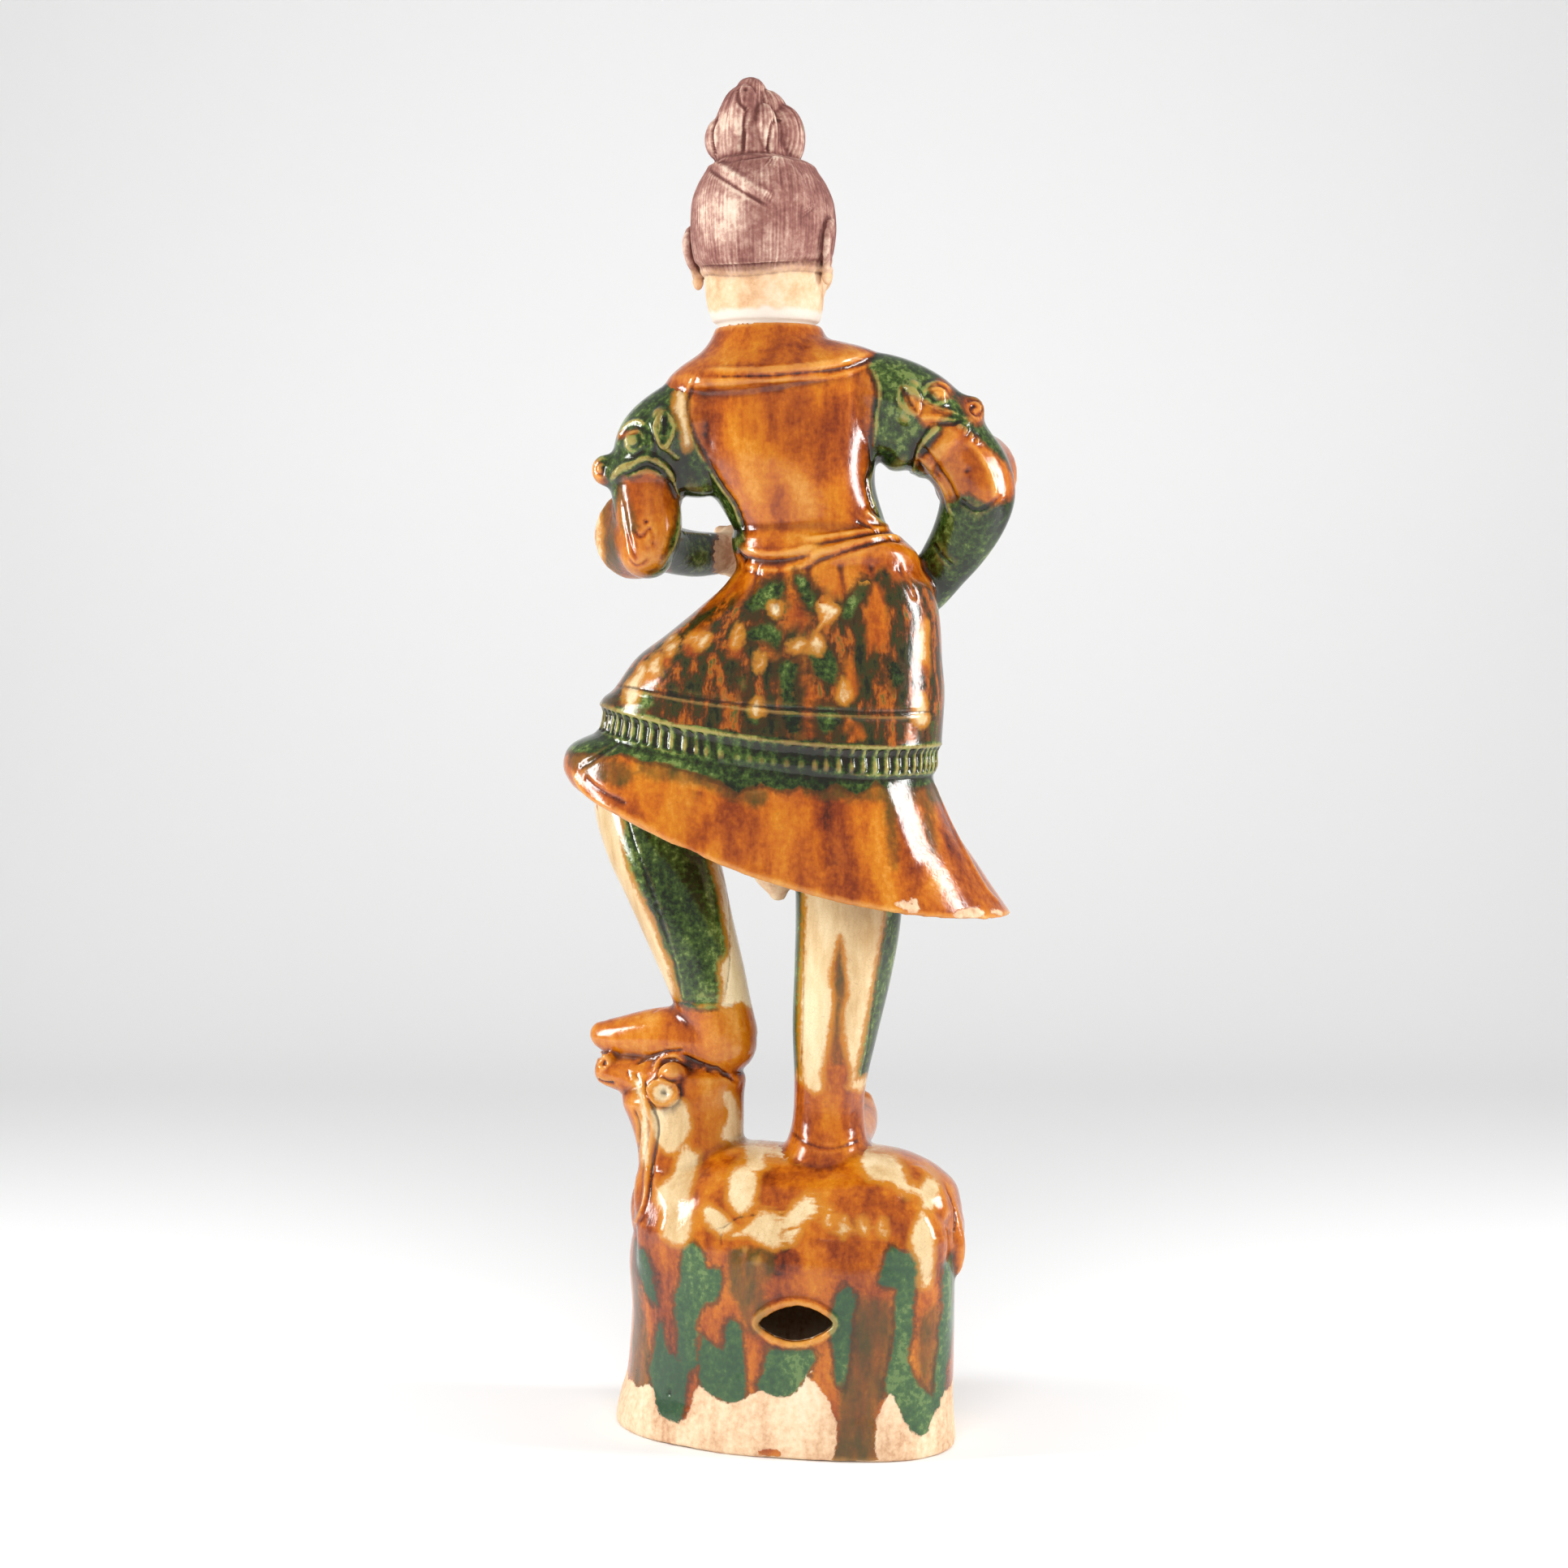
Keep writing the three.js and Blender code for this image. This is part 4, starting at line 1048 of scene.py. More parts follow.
BULL_CREAM = [
    [(-101, 243), (-87, 243), (-82, 247), (-73, 246), (-70, 231), (-74, 219), (-85, 210), (-94, 216), (-98, 233)],
    [(-47, 252), (-41, 254), (-36, 245), (-30, 219), (-35, 215), (-48, 219), (-42, 234)],
    [(-76, 211), (-63, 210), (-66, 195), (-70, 180), (-66, 161), (-75, 151), (-89, 153), (-86, 169), (-94, 179),
     (-89, 188), (-82, 194)],
    [(-60, 174), (-55, 178), (-41, 169), (-40, 163), (-47, 160), (-56, 166)],
    [(-30, 217), (-7, 214), (12, 217), (16, 211), (-1, 209), (-13, 210), (-16, 203), (-26, 203)],
    [(-41, 198), (-31, 205), (-21, 202), (-21, 186), (-29, 175), (-37, 177), (-41, 187)],
    [(-41, 159), (-26, 167), (-17, 177), (-13, 174), (-7, 177), (-2, 168), (-4, 153), (-12, 153), (-23, 160)],
    [(3, 157), (2, 172), (8, 183), (21, 189), (26, 188), (23, 178), (14, 171), (9, 158)],
    [(58, 216), (73, 213), (85, 207), (93, 192), (89, 190), (77, 197), (61, 201), (56, 208)],
    [(103, 198), (111, 196), (112, 188), (108, 179), (101, 179), (100, 189)],
    [(100, 178), (104, 168), (107, 151), (106, 126), (99, 127), (98, 143), (91, 156), (93, 167)],
]
BULL_DROPS = [(43, 175, 43, 167, 1, 3.5), (56, 174, 56, 167, 1, 2), (71, 174, 71, 167, 1, 3), (32, 180, 32, 172, 1, 2),
              (-110, 259, -103, 236, 2, 2.5), (-103, 236, -103, 202, 2.5, 3)]
PLINTH_GREEN = [
    [(-112, 140), (-103, 139), (-97, 125), (-94, 100), (-102, 105), (-108, 120)],
    [(-75, 149), (-68, 152), (-59, 145), (-58, 134), (-46, 134), (-49, 111), (-58, 107), (-65, 85), (-64, 63),
     (-73, 59), (-79, 82), (-79, 107), (-75, 126)],
    [(-99, 52), (-91, 88), (-86, 68), (-72, 59), (-72, 41), (-78, 17), (-88, 18), (-97, 33)],
    [(-59, 85), (-46, 75), (-41, 97), (-32, 95), (-29, 65), (-31, 40), (-46, 39), (-60, 46), (-62, 67)],
    [(-12, 81), (-4, 79), (20, 80), (19, 67), (11, 53), (-2, 44), (-15, 46), (-19, 54), (-14, 66)],
    [(77, 159), (83, 151), (94, 151), (99, 137), (93, 121), (81, 126), (69, 129), (71, 141)],
    [(80, 124), (93, 120), (92, 92), (89, 77), (95, 56), (110, 40), (105, 20), (96, 18), (87, 26), (81, 40),
     (77, 50), (71, 50), (78, 87)],
    [(122, 141), (124, 123), (123, 88), (119, 65), (116, 40), (109, 35), (109, 68), (114, 106), (116, 136)],
    [(42, 129), (50, 122), (50, 106), (47, 81), (44, 56), (38, 57), (35, 81), (35, 111)],
]
PLINTH_OLIVE = [
    [(-118, 140), (-108, 110), (-102, 75), (-97, 36), (-118, 40), (-126, 90)],
    [(-39, 148), (-24, 152), (-9, 149), (-9, 133), (-16, 128), (-12, 108), (-17, 92), (-26, 90), (-33, 110), (-40, 124)],
    [(50, 122), (78, 114), (77, 84), (72, 51), (66, 31), (64, -9), (35, -9), (39, 19), (39, 39), (42, 60), (47, 84)],
    [(99, 104), (110, 110), (112, 80), (108, 40), (100, 50), (96, 80)],
]
DRIP = [(-4, 178), (2, 177), (4, 157), (11, 150), (9, 137), (1, 129), (-8, 133), (-10, 150), (-3, 156)]
FOOT = [(-150, -30), (-150, 42), (-116, 34), (-99, 38), (-93, 25), (-84, 18), (-76, 19), (-68, 30), (-62, 46),
        (-55, 43), (-46, 38), (-36, 39), (-26, 45), (-20, 51), (-12, 48), (-2, 44), (8, 50), (14, 56), (21, 65),
        (28, 51), (33, 38), (38, 27), (37, 13), (34, -12), (66, -12), (64, 13), (68, 31), (73, 48), (78, 49),
        (82, 39), (87, 27), (95, 19), (103, 20), (108, 31), (112, 34), (118, 45), (150, 44), (150, -30)]
FRONT_FOOT_RUNS = [
    (-112, 80, -110, 44, 12, 9), (-84, 80, -84, 58, 13, 10), (-52, 80, -50, 30, 15, 12),
    (-16, 80, -18, 64, 14, 12), (20, 80, 22, 20, 17, 14), (58, 80, 57, 56, 14, 11), (92, 80, 92, 38, 14, 11),
    (116, 80, 116, 60, 9, 8),
]
FRONT_GREEN = [
    (-96, 150, -94, 60, 7, 10), (-60, 158, -54, 44, 8, 11), (-20, 140, -18, 90, 7, 10),
    (22, 150, 22, 34, 9, 13), (64, 156, 60, 84, 8, 10), (96, 148, 94, 50, 7, 10),
]
TUNIC_TOP = [(-150, 606), (-56, 612), (-42, 622), (-29, 626), (-22, 633), (-13, 636), (-1, 637), (3, 625), (6, 632),
             (10, 641), (18, 635), (25, 628), (35, 623), (43, 620), (54, 635), (61, 639), (64, 632), (69, 642),
             (75, 643), (80, 634), (91, 636), (103, 632), (130, 625)]
TUNIC_GREEN = [
    [(8, 639), (18, 634), (23, 618), (22, 607), (15, 611), (10, 623), (7, 632)],
    [(57, 636), (62, 630), (56, 618), (49, 603), (41, 605), (43, 616), (52, 627)],
    [(-15, 632), (-1, 634), (-1, 623), (-11, 611), (-24, 609), (-29, 616), (-22, 625)],
    [(-26, 600), (-11, 603), (-1, 594), (-4, 583), (-13, 587), (-24, 587), (-30, 594)],
    [(-2, 578), (12, 569), (9, 560), (12, 543), (16, 525), (3, 521), (-4, 534), (-2, 552), (-6, 565)],
    [(23, 587), (38, 580), (41, 560), (27, 560), (18, 571), (16, 583)],
    [(-24, 547), (-15, 545), (-17, 529), (-24, 530), (-29, 538)],
    [(74, 576), (86, 571), (89, 560), (79, 554), (73, 565)],
    [(97, 533), (112, 532), (112, 518), (98, 521)],
    [(-124, 548), (-101, 555), (-92, 542), (-109, 537)],
    [(-36, 568), (-28, 566), (-26, 551), (-33, 551)],
    [(23, 545), (38, 543), (41, 529), (29, 520), (23, 529)],
]
TUNIC_AMBER = [
    (5, 622, 11, 602, 5, 7), (66, 624, 67, 590, 6, 9), (15, 562, 20, 546, 2, 5), (46, 571, 47, 552, 3, 6),
    (20, 590, 23, 581, 4, 5), (9, 579, 11, 569, 2, 3), (17, 537, 20, 523, 3, 4), (45, 531, 54, 521, 3, 4),
    (101, 601, 101, 570, 4, 5), (92, 527, 93, 519, 2, 3), (-83, 587, -85, 574, 2, 4), (-96, 568, -99, 561, 3, 4),
    (-9, 595, -9, 579, 3, 4), (101, 543, 100, 534, 4, 6), (-20, 627, -33, 618, 3, 4), (-62, 596, -66, 584, 4, 6),
    (-33, 600, -33, 582, 3, 5), (31, 616, 31, 602, 6, 6),
]
TUNIC_CREAM = [
    (28, 613, 31, 607, 3, 3), (36, 612, 32, 607, 3, 3), (20, 593, 23, 585, 2, 4), (-65, 590, -62, 587, 3, 3),
    (-58, 591, -61, 587, 3, 3), (-33, 600, -33, 588, 1, 3), (-81, 590, -83, 585, 2, 3.5), (-92, 576, -94, 568, 1.5, 4),
    (-103, 570, -104, 561, 1.5, 3), (-110, 556, -112, 546, 4, 4), (101, 599, 100, 577, 2, 3), (43, 560, 43, 550, 1.5, 4),
    (99, 547, 100, 533, 3, 5), (-19, 545, -19, 540, 2, 3), (-17, 580, -18, 570, 1, 2.4), (-7, 613, -6, 610, 3, 3),
    (59, 638, 58, 634, 2, 2), (7, 585, 12, 584, 3, 2.6),
]
SKIRT_GREEN = [(-142, 507), (-130, 506), (-119, 507), (-105, 505), (-89, 501), (-71, 496), (-55, 492), (-42, 486),
               (-34, 480), (-28, 485), (-15, 487), (-2, 480), (12, 486), (25, 480), (38, 486), (52, 478), (66, 488),
               (76, 482), (79, 488), (93, 483), (111, 484), (140, 484)]
SKIRT_DARK = [(-150, 503, -118, 492, 8, 8), (-60, 492, -20, 478, 7, 8), (20, 484, 112, 478, 7, 9), (77, 478, 79, 428, 5, 3),
              (104, 478, 110, 426, 4, 3), (-100, 498, -70, 492, 6, 6)]


def outline_gap(x, z, outline):
    """Distance from a closed outline, negative inside."""
    corners = sampled([*outline, outline[0]], 2, 4 * len(outline) + 1, False)
    best = np.full(len(x), 1e9)
    inside = np.zeros(len(x), bool)
    for (ax, az), (bx, bz) in zip(corners[:-1], corners[1:]):
        ex, ez = bx - ax, bz - az
        t = np.clip(((x - ax) * ex + (z - az) * ez) / (ex * ex + ez * ez + 1e-9), 0, 1)
        best = np.minimum(best, np.hypot(x - ax - t * ex, z - az - t * ez))
        if abs(ez) > 1e-9:
            inside ^= ((az > z) != (bz > z)) & (x < ax + ex * (z - az) / ez)
    return np.where(inside, -best, best)


def run_gap(x, z, runs):
    """Distance from the nearest of several runs of glaze, negative inside."""
    best = np.full(len(x), 1e9)
    for ax, az, bx, bz, top, tip in runs:
        ex, ez = bx - ax, bz - az
        t = np.clip(((x - ax) * ex + (z - az) * ez) / (ex * ex + ez * ez + 1e-9), 0, 1)
        best = np.minimum(best, np.hypot(x - ax - t * ex, z - az - t * ez) - (top + (tip - top) * t))
    return best


def splash_runs():
    """Splashes of clear glaze in staggered rows round the tunic's hidden front."""
    random = np.random.default_rng(SEED)
    runs = []
    for row, z in enumerate(range(628, 540, -17)):
        for x in np.arange(-140, 150, 27):
            spot = x + 13 * (row % 2) + random.uniform(-6, 6)
            height = z + random.uniform(-5, 5)
            length = random.uniform(4, 11)
            widths = random.uniform(1.2, 2.4), random.uniform(2.4, 4.2)
            runs.append((spot, height, spot - 0.05 * length, height - length, *widths))
    return runs


def outlines_gap(x, z, outlines):
    """Distance from the nearest of several closed outlines, negative inside."""
    return np.min([outline_gap(x, z, outline) for outline in outlines], axis=0)


FAR = 60.0


def closest_shape(points, parts):
    """The name of the shape that each point of the skin came from."""
    names = list(parts)
    spots = [(vert.co.copy(), k) for k, name in enumerate(names) for shape in parts[name] for vert in shape.verts]
    tree = KDTree(len(spots))
    for number, (spot, _) in enumerate(spots):
        tree.insert(spot, number)
    tree.balance()
    found = [spots[tree.find(Vector(point))[1]][1] for point in points]
    return np.array(names)[found]


def glaze_fields(points, parts):
    """How far each point lies from the edge of each coat, how mottled it is and its tone."""
    coat = closest_shape(points, parts)
    true_x, true_y, true_z = points.T
    x = true_x + 2.2 * wander(points, 17, 3.0) + 1.2 * wander(points, 6, 9.0)
    z = true_z + 2.2 * wander(points, 15, 5.0) + 1.5 * wander(points, 5, 2.0)
    back = true_y < 8
    green, cream, bare, olive = np.full((4, len(x)), FAR)
    mottle, tone = np.zeros((2, len(x)))

    def on(*names):
        return np.isin(coat, names)

    def soft(gap, width=5.0):
        """1 well inside an outline, 0 outside it, across a soft edge."""
        return ramp(-gap, -width, width)

    trunk = on("robe") & (z > 645)
    panel = outline_gap(x, z, BACK_PANEL)
    green = np.where(trunk, 1 - panel, green)
    strip = run_gap(x, z, [(-74, 772, -76, 757, 2.5, 3), (-76, 757, -70, 730, 3, 1.5)])
    cream = np.where(trunk & back, strip, cream)
    shade = 0.8 * soft(outlines_gap(x, z, BACK_LIGHT), 9) - 0.9 * soft(outlines_gap(x, z, BACK_DARK), 6)
    tone = np.where(on("robe", "collar") & back & (z > 640), shade, tone)

    tunic = on("robe", "apron") & (z <= 650)
    level = band_level(true_x, true_y)
    top = np.where(back, np.interp(x, *zip(*TUNIC_TOP)), 629 + 7 * np.sin(x / 9.0 + 1) + 5 * np.sin(x / 4.1))
    amber = np.where(back, run_gap(x, z, TUNIC_AMBER), 20)
    zone = ramp(top - z, -2, 5) * ramp(z - level, -10, 4)
    mottle = np.where(tunic, zone * ramp(amber, -2, 2), mottle)
    spots = np.where(back, run_gap(x, z, TUNIC_CREAM), run_gap(x, z, splash_runs()))
    cream = np.where(tunic & (zone > 0.5), spots, cream)
    leaves = np.where(back, outlines_gap(x, z, TUNIC_GREEN), 20)
    green = np.where(tunic & (z > level), 0.6 * leaves + 1.0, green)
    drips = np.where(back, np.interp(x, *zip(*SKIRT_GREEN)), level - 25 - 4 * np.sin(x / 11.0) - 3 * np.sin(x / 5.0 + 1))
    green = np.where(on("robe") & (z < level + 14), np.maximum(z - level - 13, drips - z), green)
    skirt = on("robe", "skirt_inside") & (z < level - 8)
    olive = np.where(skirt & back, run_gap(x, z, SKIRT_DARK), olive)
    hem_chips = run_gap(x, z, [(84, 401, 95, 399, 3.6, 4.4), (126, 392, 142, 391, 3, 3.2), (152, 391, 158, 390, 1.5, 2)])
    bare = np.where(skirt & back, hem_chips, bare)
    bare = np.where(on("skirt_inside"), -6, bare)

    left = on("left_arm")
    lobe = outline_gap(x, z, LEFT_LOBE)
    beak = run_gap(x, z, [(-140, 716, -134, 706, 8, 6), (-121, 738, -108, 742, 3, 2.5)])
    green = np.where(left, np.maximum(-lobe, -beak), green)
    green = np.where(left & back, np.maximum(green, 1 - panel), green)
    streak = run_gap(x, z, [(-122, 706, -112, 672, 4, 5), (-124, 676, -128, 656, 3, 4)])
    olive = np.where(left, streak, olive)
    cream = np.where(left & back, strip, cream)
    cuff = on("left_cuff")
    cream = np.where(cuff, run_gap(x, z, [(-140, 690, -138, 650, 2.5, 2.5)]), cream)
    olive = np.where(cuff, run_gap(x, z, [(-132, 690, -126, 640, 5, 6)]), olive)
    wrist = on("forearm")
    green = np.where(wrist, np.maximum(-84 - x, x + 54), green)
    bare = np.where(on("hand") & (true_x < 20) | wrist & (x > -53), -6, bare)

    right = on("right_arm")
    sleeve = outline_gap(x, z, RIGHT_SLEEVE)
    mask = outlines_gap(x, z, RIGHT_MASK)
    green = np.where(right, np.maximum(-sleeve, -mask), green)
    green = np.where(right & back, np.maximum(green, 1 - panel), green)
    green = np.where(on("hand") & (true_x > 20), 8, green)
    olive = np.where(right, np.maximum(z - 688, 648 - z), olive)
    tone = np.where(right, -0.7 * soft(run_gap(x, z, [(121, 688, 160, 682, 3, 4), (100, 744, 98, 726, 3, 2)])), tone)
    tone = np.where(on("right_cuff", "cuff_inside"), -0.8, tone)

    left_leg = on("left_leg")
    trouser = outline_gap(x, z, LEG_PANEL)
    green = np.where(left_leg, trouser, green)
    cream = np.where(left_leg, np.maximum(322 - 0.12 * (x + 60) + 2 * np.sin(x / 3.0) - z, -trouser), cream)
    right_leg = on("right_leg")
    half = np.interp(z, [206, 258, 302, 390, 470], [30, 25, 32, 40, 44])
    middle = np.interp(z, [206, 258, 302, 390, 470], [32, 34, 38, 48, 50])
    u = (true_x - middle) / half
    sides = np.maximum(np.minimum(u + 0.8, 0.62 - u) * half, 266 - z)
    ankle = np.where(back, 262 + 4 * np.sin(x / 5.0), 268)
    stripe = outline_gap(x, z, LEG_STRIPE)
    gaiter = np.maximum(ankle - z, np.where(back, -stripe, -FAR))
    cream = np.where(right_leg, np.maximum(gaiter, -sides), cream)
    green = np.where(right_leg, sides, green)
    olive = np.where(right_leg & back, np.maximum(stripe + 2.5, 280 - z), olive)
    bare = np.where(on("loincloth"), -6, bare)
    cream = np.where(on("right_boot") & (true_y > 50), 4, cream)

    low = on("bull", "muzzle", "plinth", "inside")
    patches = np.minimum(outlines_gap(x, z, BULL_CREAM), run_gap(x, z, BULL_DROPS))
    ear = np.hypot(true_x - BULL_EAR[0], true_z - BULL_EAR[1]) - 7
    cream = np.where(low, np.minimum(patches, ear), cream)
    green = np.where(low, np.where(back, outlines_gap(x, z, PLINTH_GREEN), run_gap(x, z, FRONT_GREEN)), green)
    olive = np.where(low & back, outlines_gap(x, z, PLINTH_OLIVE), olive)
    tone = np.where(low & back, -1.3 * soft(outline_gap(x, z, DRIP), 2), tone)
    foot = np.where(back, outline_gap(x, z, FOOT), np.maximum(-run_gap(x, z, FRONT_FOOT_RUNS), z - 66))
    spill = run_gap(x, z, [(-16, 5, -5, 4, 3, 3)])
    bare = np.where(low, np.maximum(foot, -spill), bare)
    bare = np.where(on("inside", "vent") & (true_z < 140) | (true_z < 1.5) | on("socket"), -6, bare)
    fields = {"green": green, "cream": cream, "bare": bare, "olive": olive}
    fields = {name: np.clip(values, -FAR, FAR) for name, values in fields.items()}
    return fields | {"mottle": mottle, "tone": tone}


def hollows(mesh, points, normals, rounds=3):
    """How sunk (above 0) or proud (below 0) each point is beside its neighbours."""
    edges = np.empty(len(mesh.edges) * 2, int)
    mesh.edges.foreach_get("vertices", edges)
    a, b = edges.reshape(-1, 2).T
    count = np.bincount(a, minlength=len(points)) + np.bincount(b, minlength=len(points))
    total = np.zeros_like(points)
    for axis in range(3):
        total[:, axis] = (np.bincount(a, points[b, axis], len(points)) + np.bincount(b, points[a, axis], len(points)))
    bend = ((total / count[:, None] - points) * normals).sum(axis=1)
    for _ in range(rounds):
        near = np.bincount(a, bend[b], len(points)) + np.bincount(b, bend[a], len(points))
        bend = (bend + near / count) / 2
    return np.clip(bend / 0.12, -1, 1)


def keep(mesh, name, values):
    """Values stored on the mesh for its material to read."""
    layer = mesh.attributes.new(name, "FLOAT", "POINT")
    layer.data.foreach_set("value", np.ascontiguousarray(values, dtype=np.float32))


# Finishes

def linear(code):
    """An sRGB hex colour as linear numbers with full opacity."""
    parts = [int(code[i:i + 2], 16) / 255 for i in (1, 3, 5)]
    return tuple(c / 12.92 if c <= 0.04045 else ((c + 0.055) / 1.055) ** 2.4 for c in parts) + (1.0,)


def add(tree, kind, inputs=None, stops=None, out=0, **settings):
    """A node's output; inputs are values or other nodes' outputs, stops a colour ramp's."""
    item = tree.nodes.new(kind)
    for key, value in settings.items():
        setattr(item, key, value)
    for key, value in (inputs or {}).items():
        if isinstance(value, bpy.types.NodeSocket):
            tree.links.new(value, item.inputs[key])
        else:
            item.inputs[key].default_value = value
    if stops:
        ramp_ = item.color_ramp
        while len(ramp_.elements) < len(stops):
            ramp_.elements.new(0.5)
        for element, (place, code) in zip(ramp_.elements, stops):
            element.position = place
            element.color = linear(code)
    return item.outputs[out]


def new_finish(name):
    """An empty material with its tree, shader and object coordinates."""
    material = bpy.data.materials.new(name)
    material.use_nodes = True
    tree = material.node_tree
    shader = tree.nodes["Principled BSDF"]
    place = add(tree, "ShaderNodeTexCoord", out="Object")
    return material, tree, shader, place


def glazed_earthenware():
    """Lead glazes in amber, green and clear, run over buff clay: glossy, with painted shade darkening the cuts,
    pale on the ridges where the glaze runs thin and a highlight is painted, finely crazed, with a dry sandy foot where
    no glaze reached."""
    material, tree, shader, place = new_finish("lead glazed earthenware")
    tall = add(tree, "ShaderNodeMapping", {0: place, 3: (1.0, 1.0, 0.3)})
    broad = add(tree, "ShaderNodeTexNoise", {"Vector": tall, "Scale": 34.0, "Detail": 5.0, "Roughness": 0.62})
    small = add(tree, "ShaderNodeTexNoise", {"Vector": place, "Scale": 240.0, "Detail": 4.0, "Roughness": 0.6})
    runs = add(tree, "ShaderNodeTexNoise", {"Vector": tall, "Scale": 95.0, "Detail": 4.0, "Roughness": 0.6})
    grain = add(tree, "ShaderNodeTexNoise", {"Vector": place, "Scale": 900.0, "Detail": 3.0})
    ragged = add(tree, "ShaderNodeMapRange", {0: small, 1: 0.0, 2: 1.0, 3: -3.0, 4: 3.0})

    def edge(name, outer, inner):
        """1 inside a coat and 0 outside it, across a ragged edge in millimetres."""
        gap = add(tree, "ShaderNodeAttribute", out="Fac", attribute_name=name)
        rough_edge = add(tree, "ShaderNodeMath", {0: gap, 1: ragged}, operation="ADD")
        return add(tree, "ShaderNodeMapRange", {0: rough_edge, 1: outer, 2: inner},
                   interpolation_type="SMOOTHSTEP")

    # How sunk each point is: darkens the amber in cuts and lightens it on ridges, as painted shade and painted
    # highlight
    sunk = add(tree, "ShaderNodeAttribute", out="Fac", attribute_name="crease_shade_and_ridge_highlight")
    tone = add(tree, "ShaderNodeMath", {0: sunk, 1: -0.14, 2: broad}, operation="MULTIPLY_ADD")
    tone = add(tree, "ShaderNodeMath", {0: small, 1: 0.28, 2: tone}, operation="MULTIPLY_ADD")
    shade = add(tree, "ShaderNodeAttribute", out="Fac", attribute_name="tone")
    tone = add(tree, "ShaderNodeMath", {0: shade, 1: 0.13, 2: tone}, operation="MULTIPLY_ADD")
    amber = add(tree, "ShaderNodeValToRGB", {0: tone}, stops=[
        (0.40, "#431604"), (0.50, "#7A2F05"), (0.60, "#9A4706"), (0.68, "#B25C08"), (0.78, "#C0720F"),
        (0.92, "#D2923A")])
    mixed = add(tree, "ShaderNodeMath", {0: small, 1: 0.22, 2: runs}, operation="MULTIPLY_ADD")
    mottled = add(tree, "ShaderNodeValToRGB", {0: mixed}, stops=[
        (0.46, "#14180A"), (0.54, "#2C300F"), (0.60, "#3A260A"), (0.66, "#6B340A"),
        (0.72, "#A3540E"), (0.80, "#3E4E1C")])
    share = add(tree, "ShaderNodeAttribute", out="Fac", attribute_name="mottle")
    colour = add(tree, "ShaderNodeMix", {0: share, 6: amber, 7: mottled}, out=2, data_type="RGBA")
    depth = add(tree, "ShaderNodeMapRange", {0: runs, 1: 0.35, 2: 0.62, 3: 0.9, 4: 0.45})
    olive = add(tree, "ShaderNodeMix", {0: depth, 6: colour, 7: linear("#3A3A10")},
                out=2, data_type="RGBA")
    colour = add(tree, "ShaderNodeMix", {0: edge("olive", 4.0, -3.0), 6: colour, 7: olive},
                 out=2, data_type="RGBA")

    leaf_tone = add(tree, "ShaderNodeMath", {0: small, 1: 0.45, 2: tone}, operation="MULTIPLY_ADD")
    green = add(tree, "ShaderNodeValToRGB", {0: leaf_tone}, stops=[
        (0.68, "#0C1406"), (0.78, "#1B2C0C"), (0.88, "#314617"), (0.97, "#4C6228"), (1.0, "#6E8040")])
    height = add(tree, "ShaderNodeSeparateXYZ", {0: place}).node.outputs["Z"]
    cold = add(tree, "ShaderNodeMapRange", {0: height, 1: 0.20, 2: 0.15})
    cold = add(tree, "ShaderNodeMath", {0: cold, 1: 0.4}, operation="MULTIPLY")
    green = add(tree, "ShaderNodeMix", {0: cold, 6: green, 7: linear("#3E6A48")}, out=2, data_type="RGBA")
    stained = add(tree, "ShaderNodeMath", {0: edge("green", 4.5, 1.0), 1: 0.7}, operation="MULTIPLY")
    colour = add(tree, "ShaderNodeMix", {0: stained, 6: colour, 7: linear("#3A2408")},
                 out=2, data_type="RGBA")
    colour = add(tree, "ShaderNodeMix", {0: edge("green", 1.2, -1.2), 6: colour, 7: green},
                 out=2, data_type="RGBA")

    pale = add(tree, "ShaderNodeValToRGB", {0: broad}, stops=[
        (0.35, "#BF9A66"), (0.5, "#D6BA8C"), (0.65, "#E6D2AA")])
    halo = add(tree, "ShaderNodeMath", {0: edge("cream", 5.0, 1.0), 1: 0.75}, operation="MULTIPLY")
    colour = add(tree, "ShaderNodeMix", {0: halo, 6: colour, 7: linear("#BE7C20")},
                 out=2, data_type="RGBA")
    colour = add(tree, "ShaderNodeMix", {0: edge("cream", 1.2, -2.2), 6: colour, 7: pale},
                 out=2, data_type="RGBA")

    cells = add(tree, "ShaderNodeTexVoronoi", {"Vector": place, "Scale": 380.0},
                feature="DISTANCE_TO_EDGE")
    crazed = add(tree, "ShaderNodeMapRange", {0: cells, 1: 0.035, 2: 0.0, 3: 0.0, 4: 0.28})
    colour = add(tree, "ShaderNodeMix", {0: crazed, 6: colour, 7: linear("#4A2408")},
                 out=2, data_type="RGBA")
    # Painted shade: cuts and creases darkened towards near black
    painted_crease_shade = add(tree, "ShaderNodeMapRange", {0: sunk, 1: 0.12, 2: 0.9, 3: 0.0, 4: 0.7})
    colour = add(tree, "ShaderNodeMix", {0: painted_crease_shade, 6: colour, 7: linear("#1E1006")},
                 out=2, data_type="RGBA")
    # Paler on proud ridges: the glaze runs thin there, and this also paints a highlight on them
    proud = add(tree, "ShaderNodeMapRange", {0: sunk, 1: -0.25, 2: -1.0, 3: 0.0, 4: 0.3})
    colour = add(tree, "ShaderNodeMix", {0: proud, 6: colour, 7: linear("#D9A35A")},
                 out=2, data_type="RGBA")

    sand = add(tree, "ShaderNodeMath", {0: small, 1: 0.5, 2: broad}, operation="MULTIPLY_ADD")
    sandy = add(tree, "ShaderNodeValToRGB", {0: sand}, stops=[
        (0.55, "#B98A66"), (0.68, "#D6B08C"), (0.8, "#E2C6A2"), (0.95, "#EBD6B8")])
    uncoated = edge("bare", 0.8, -0.8)
    colour = add(tree, "ShaderNodeMix", {0: uncoated, 6: colour, 7: sandy}, out=2, data_type="RGBA")
    tree.links.new(colour, shader.inputs["Base Color"])

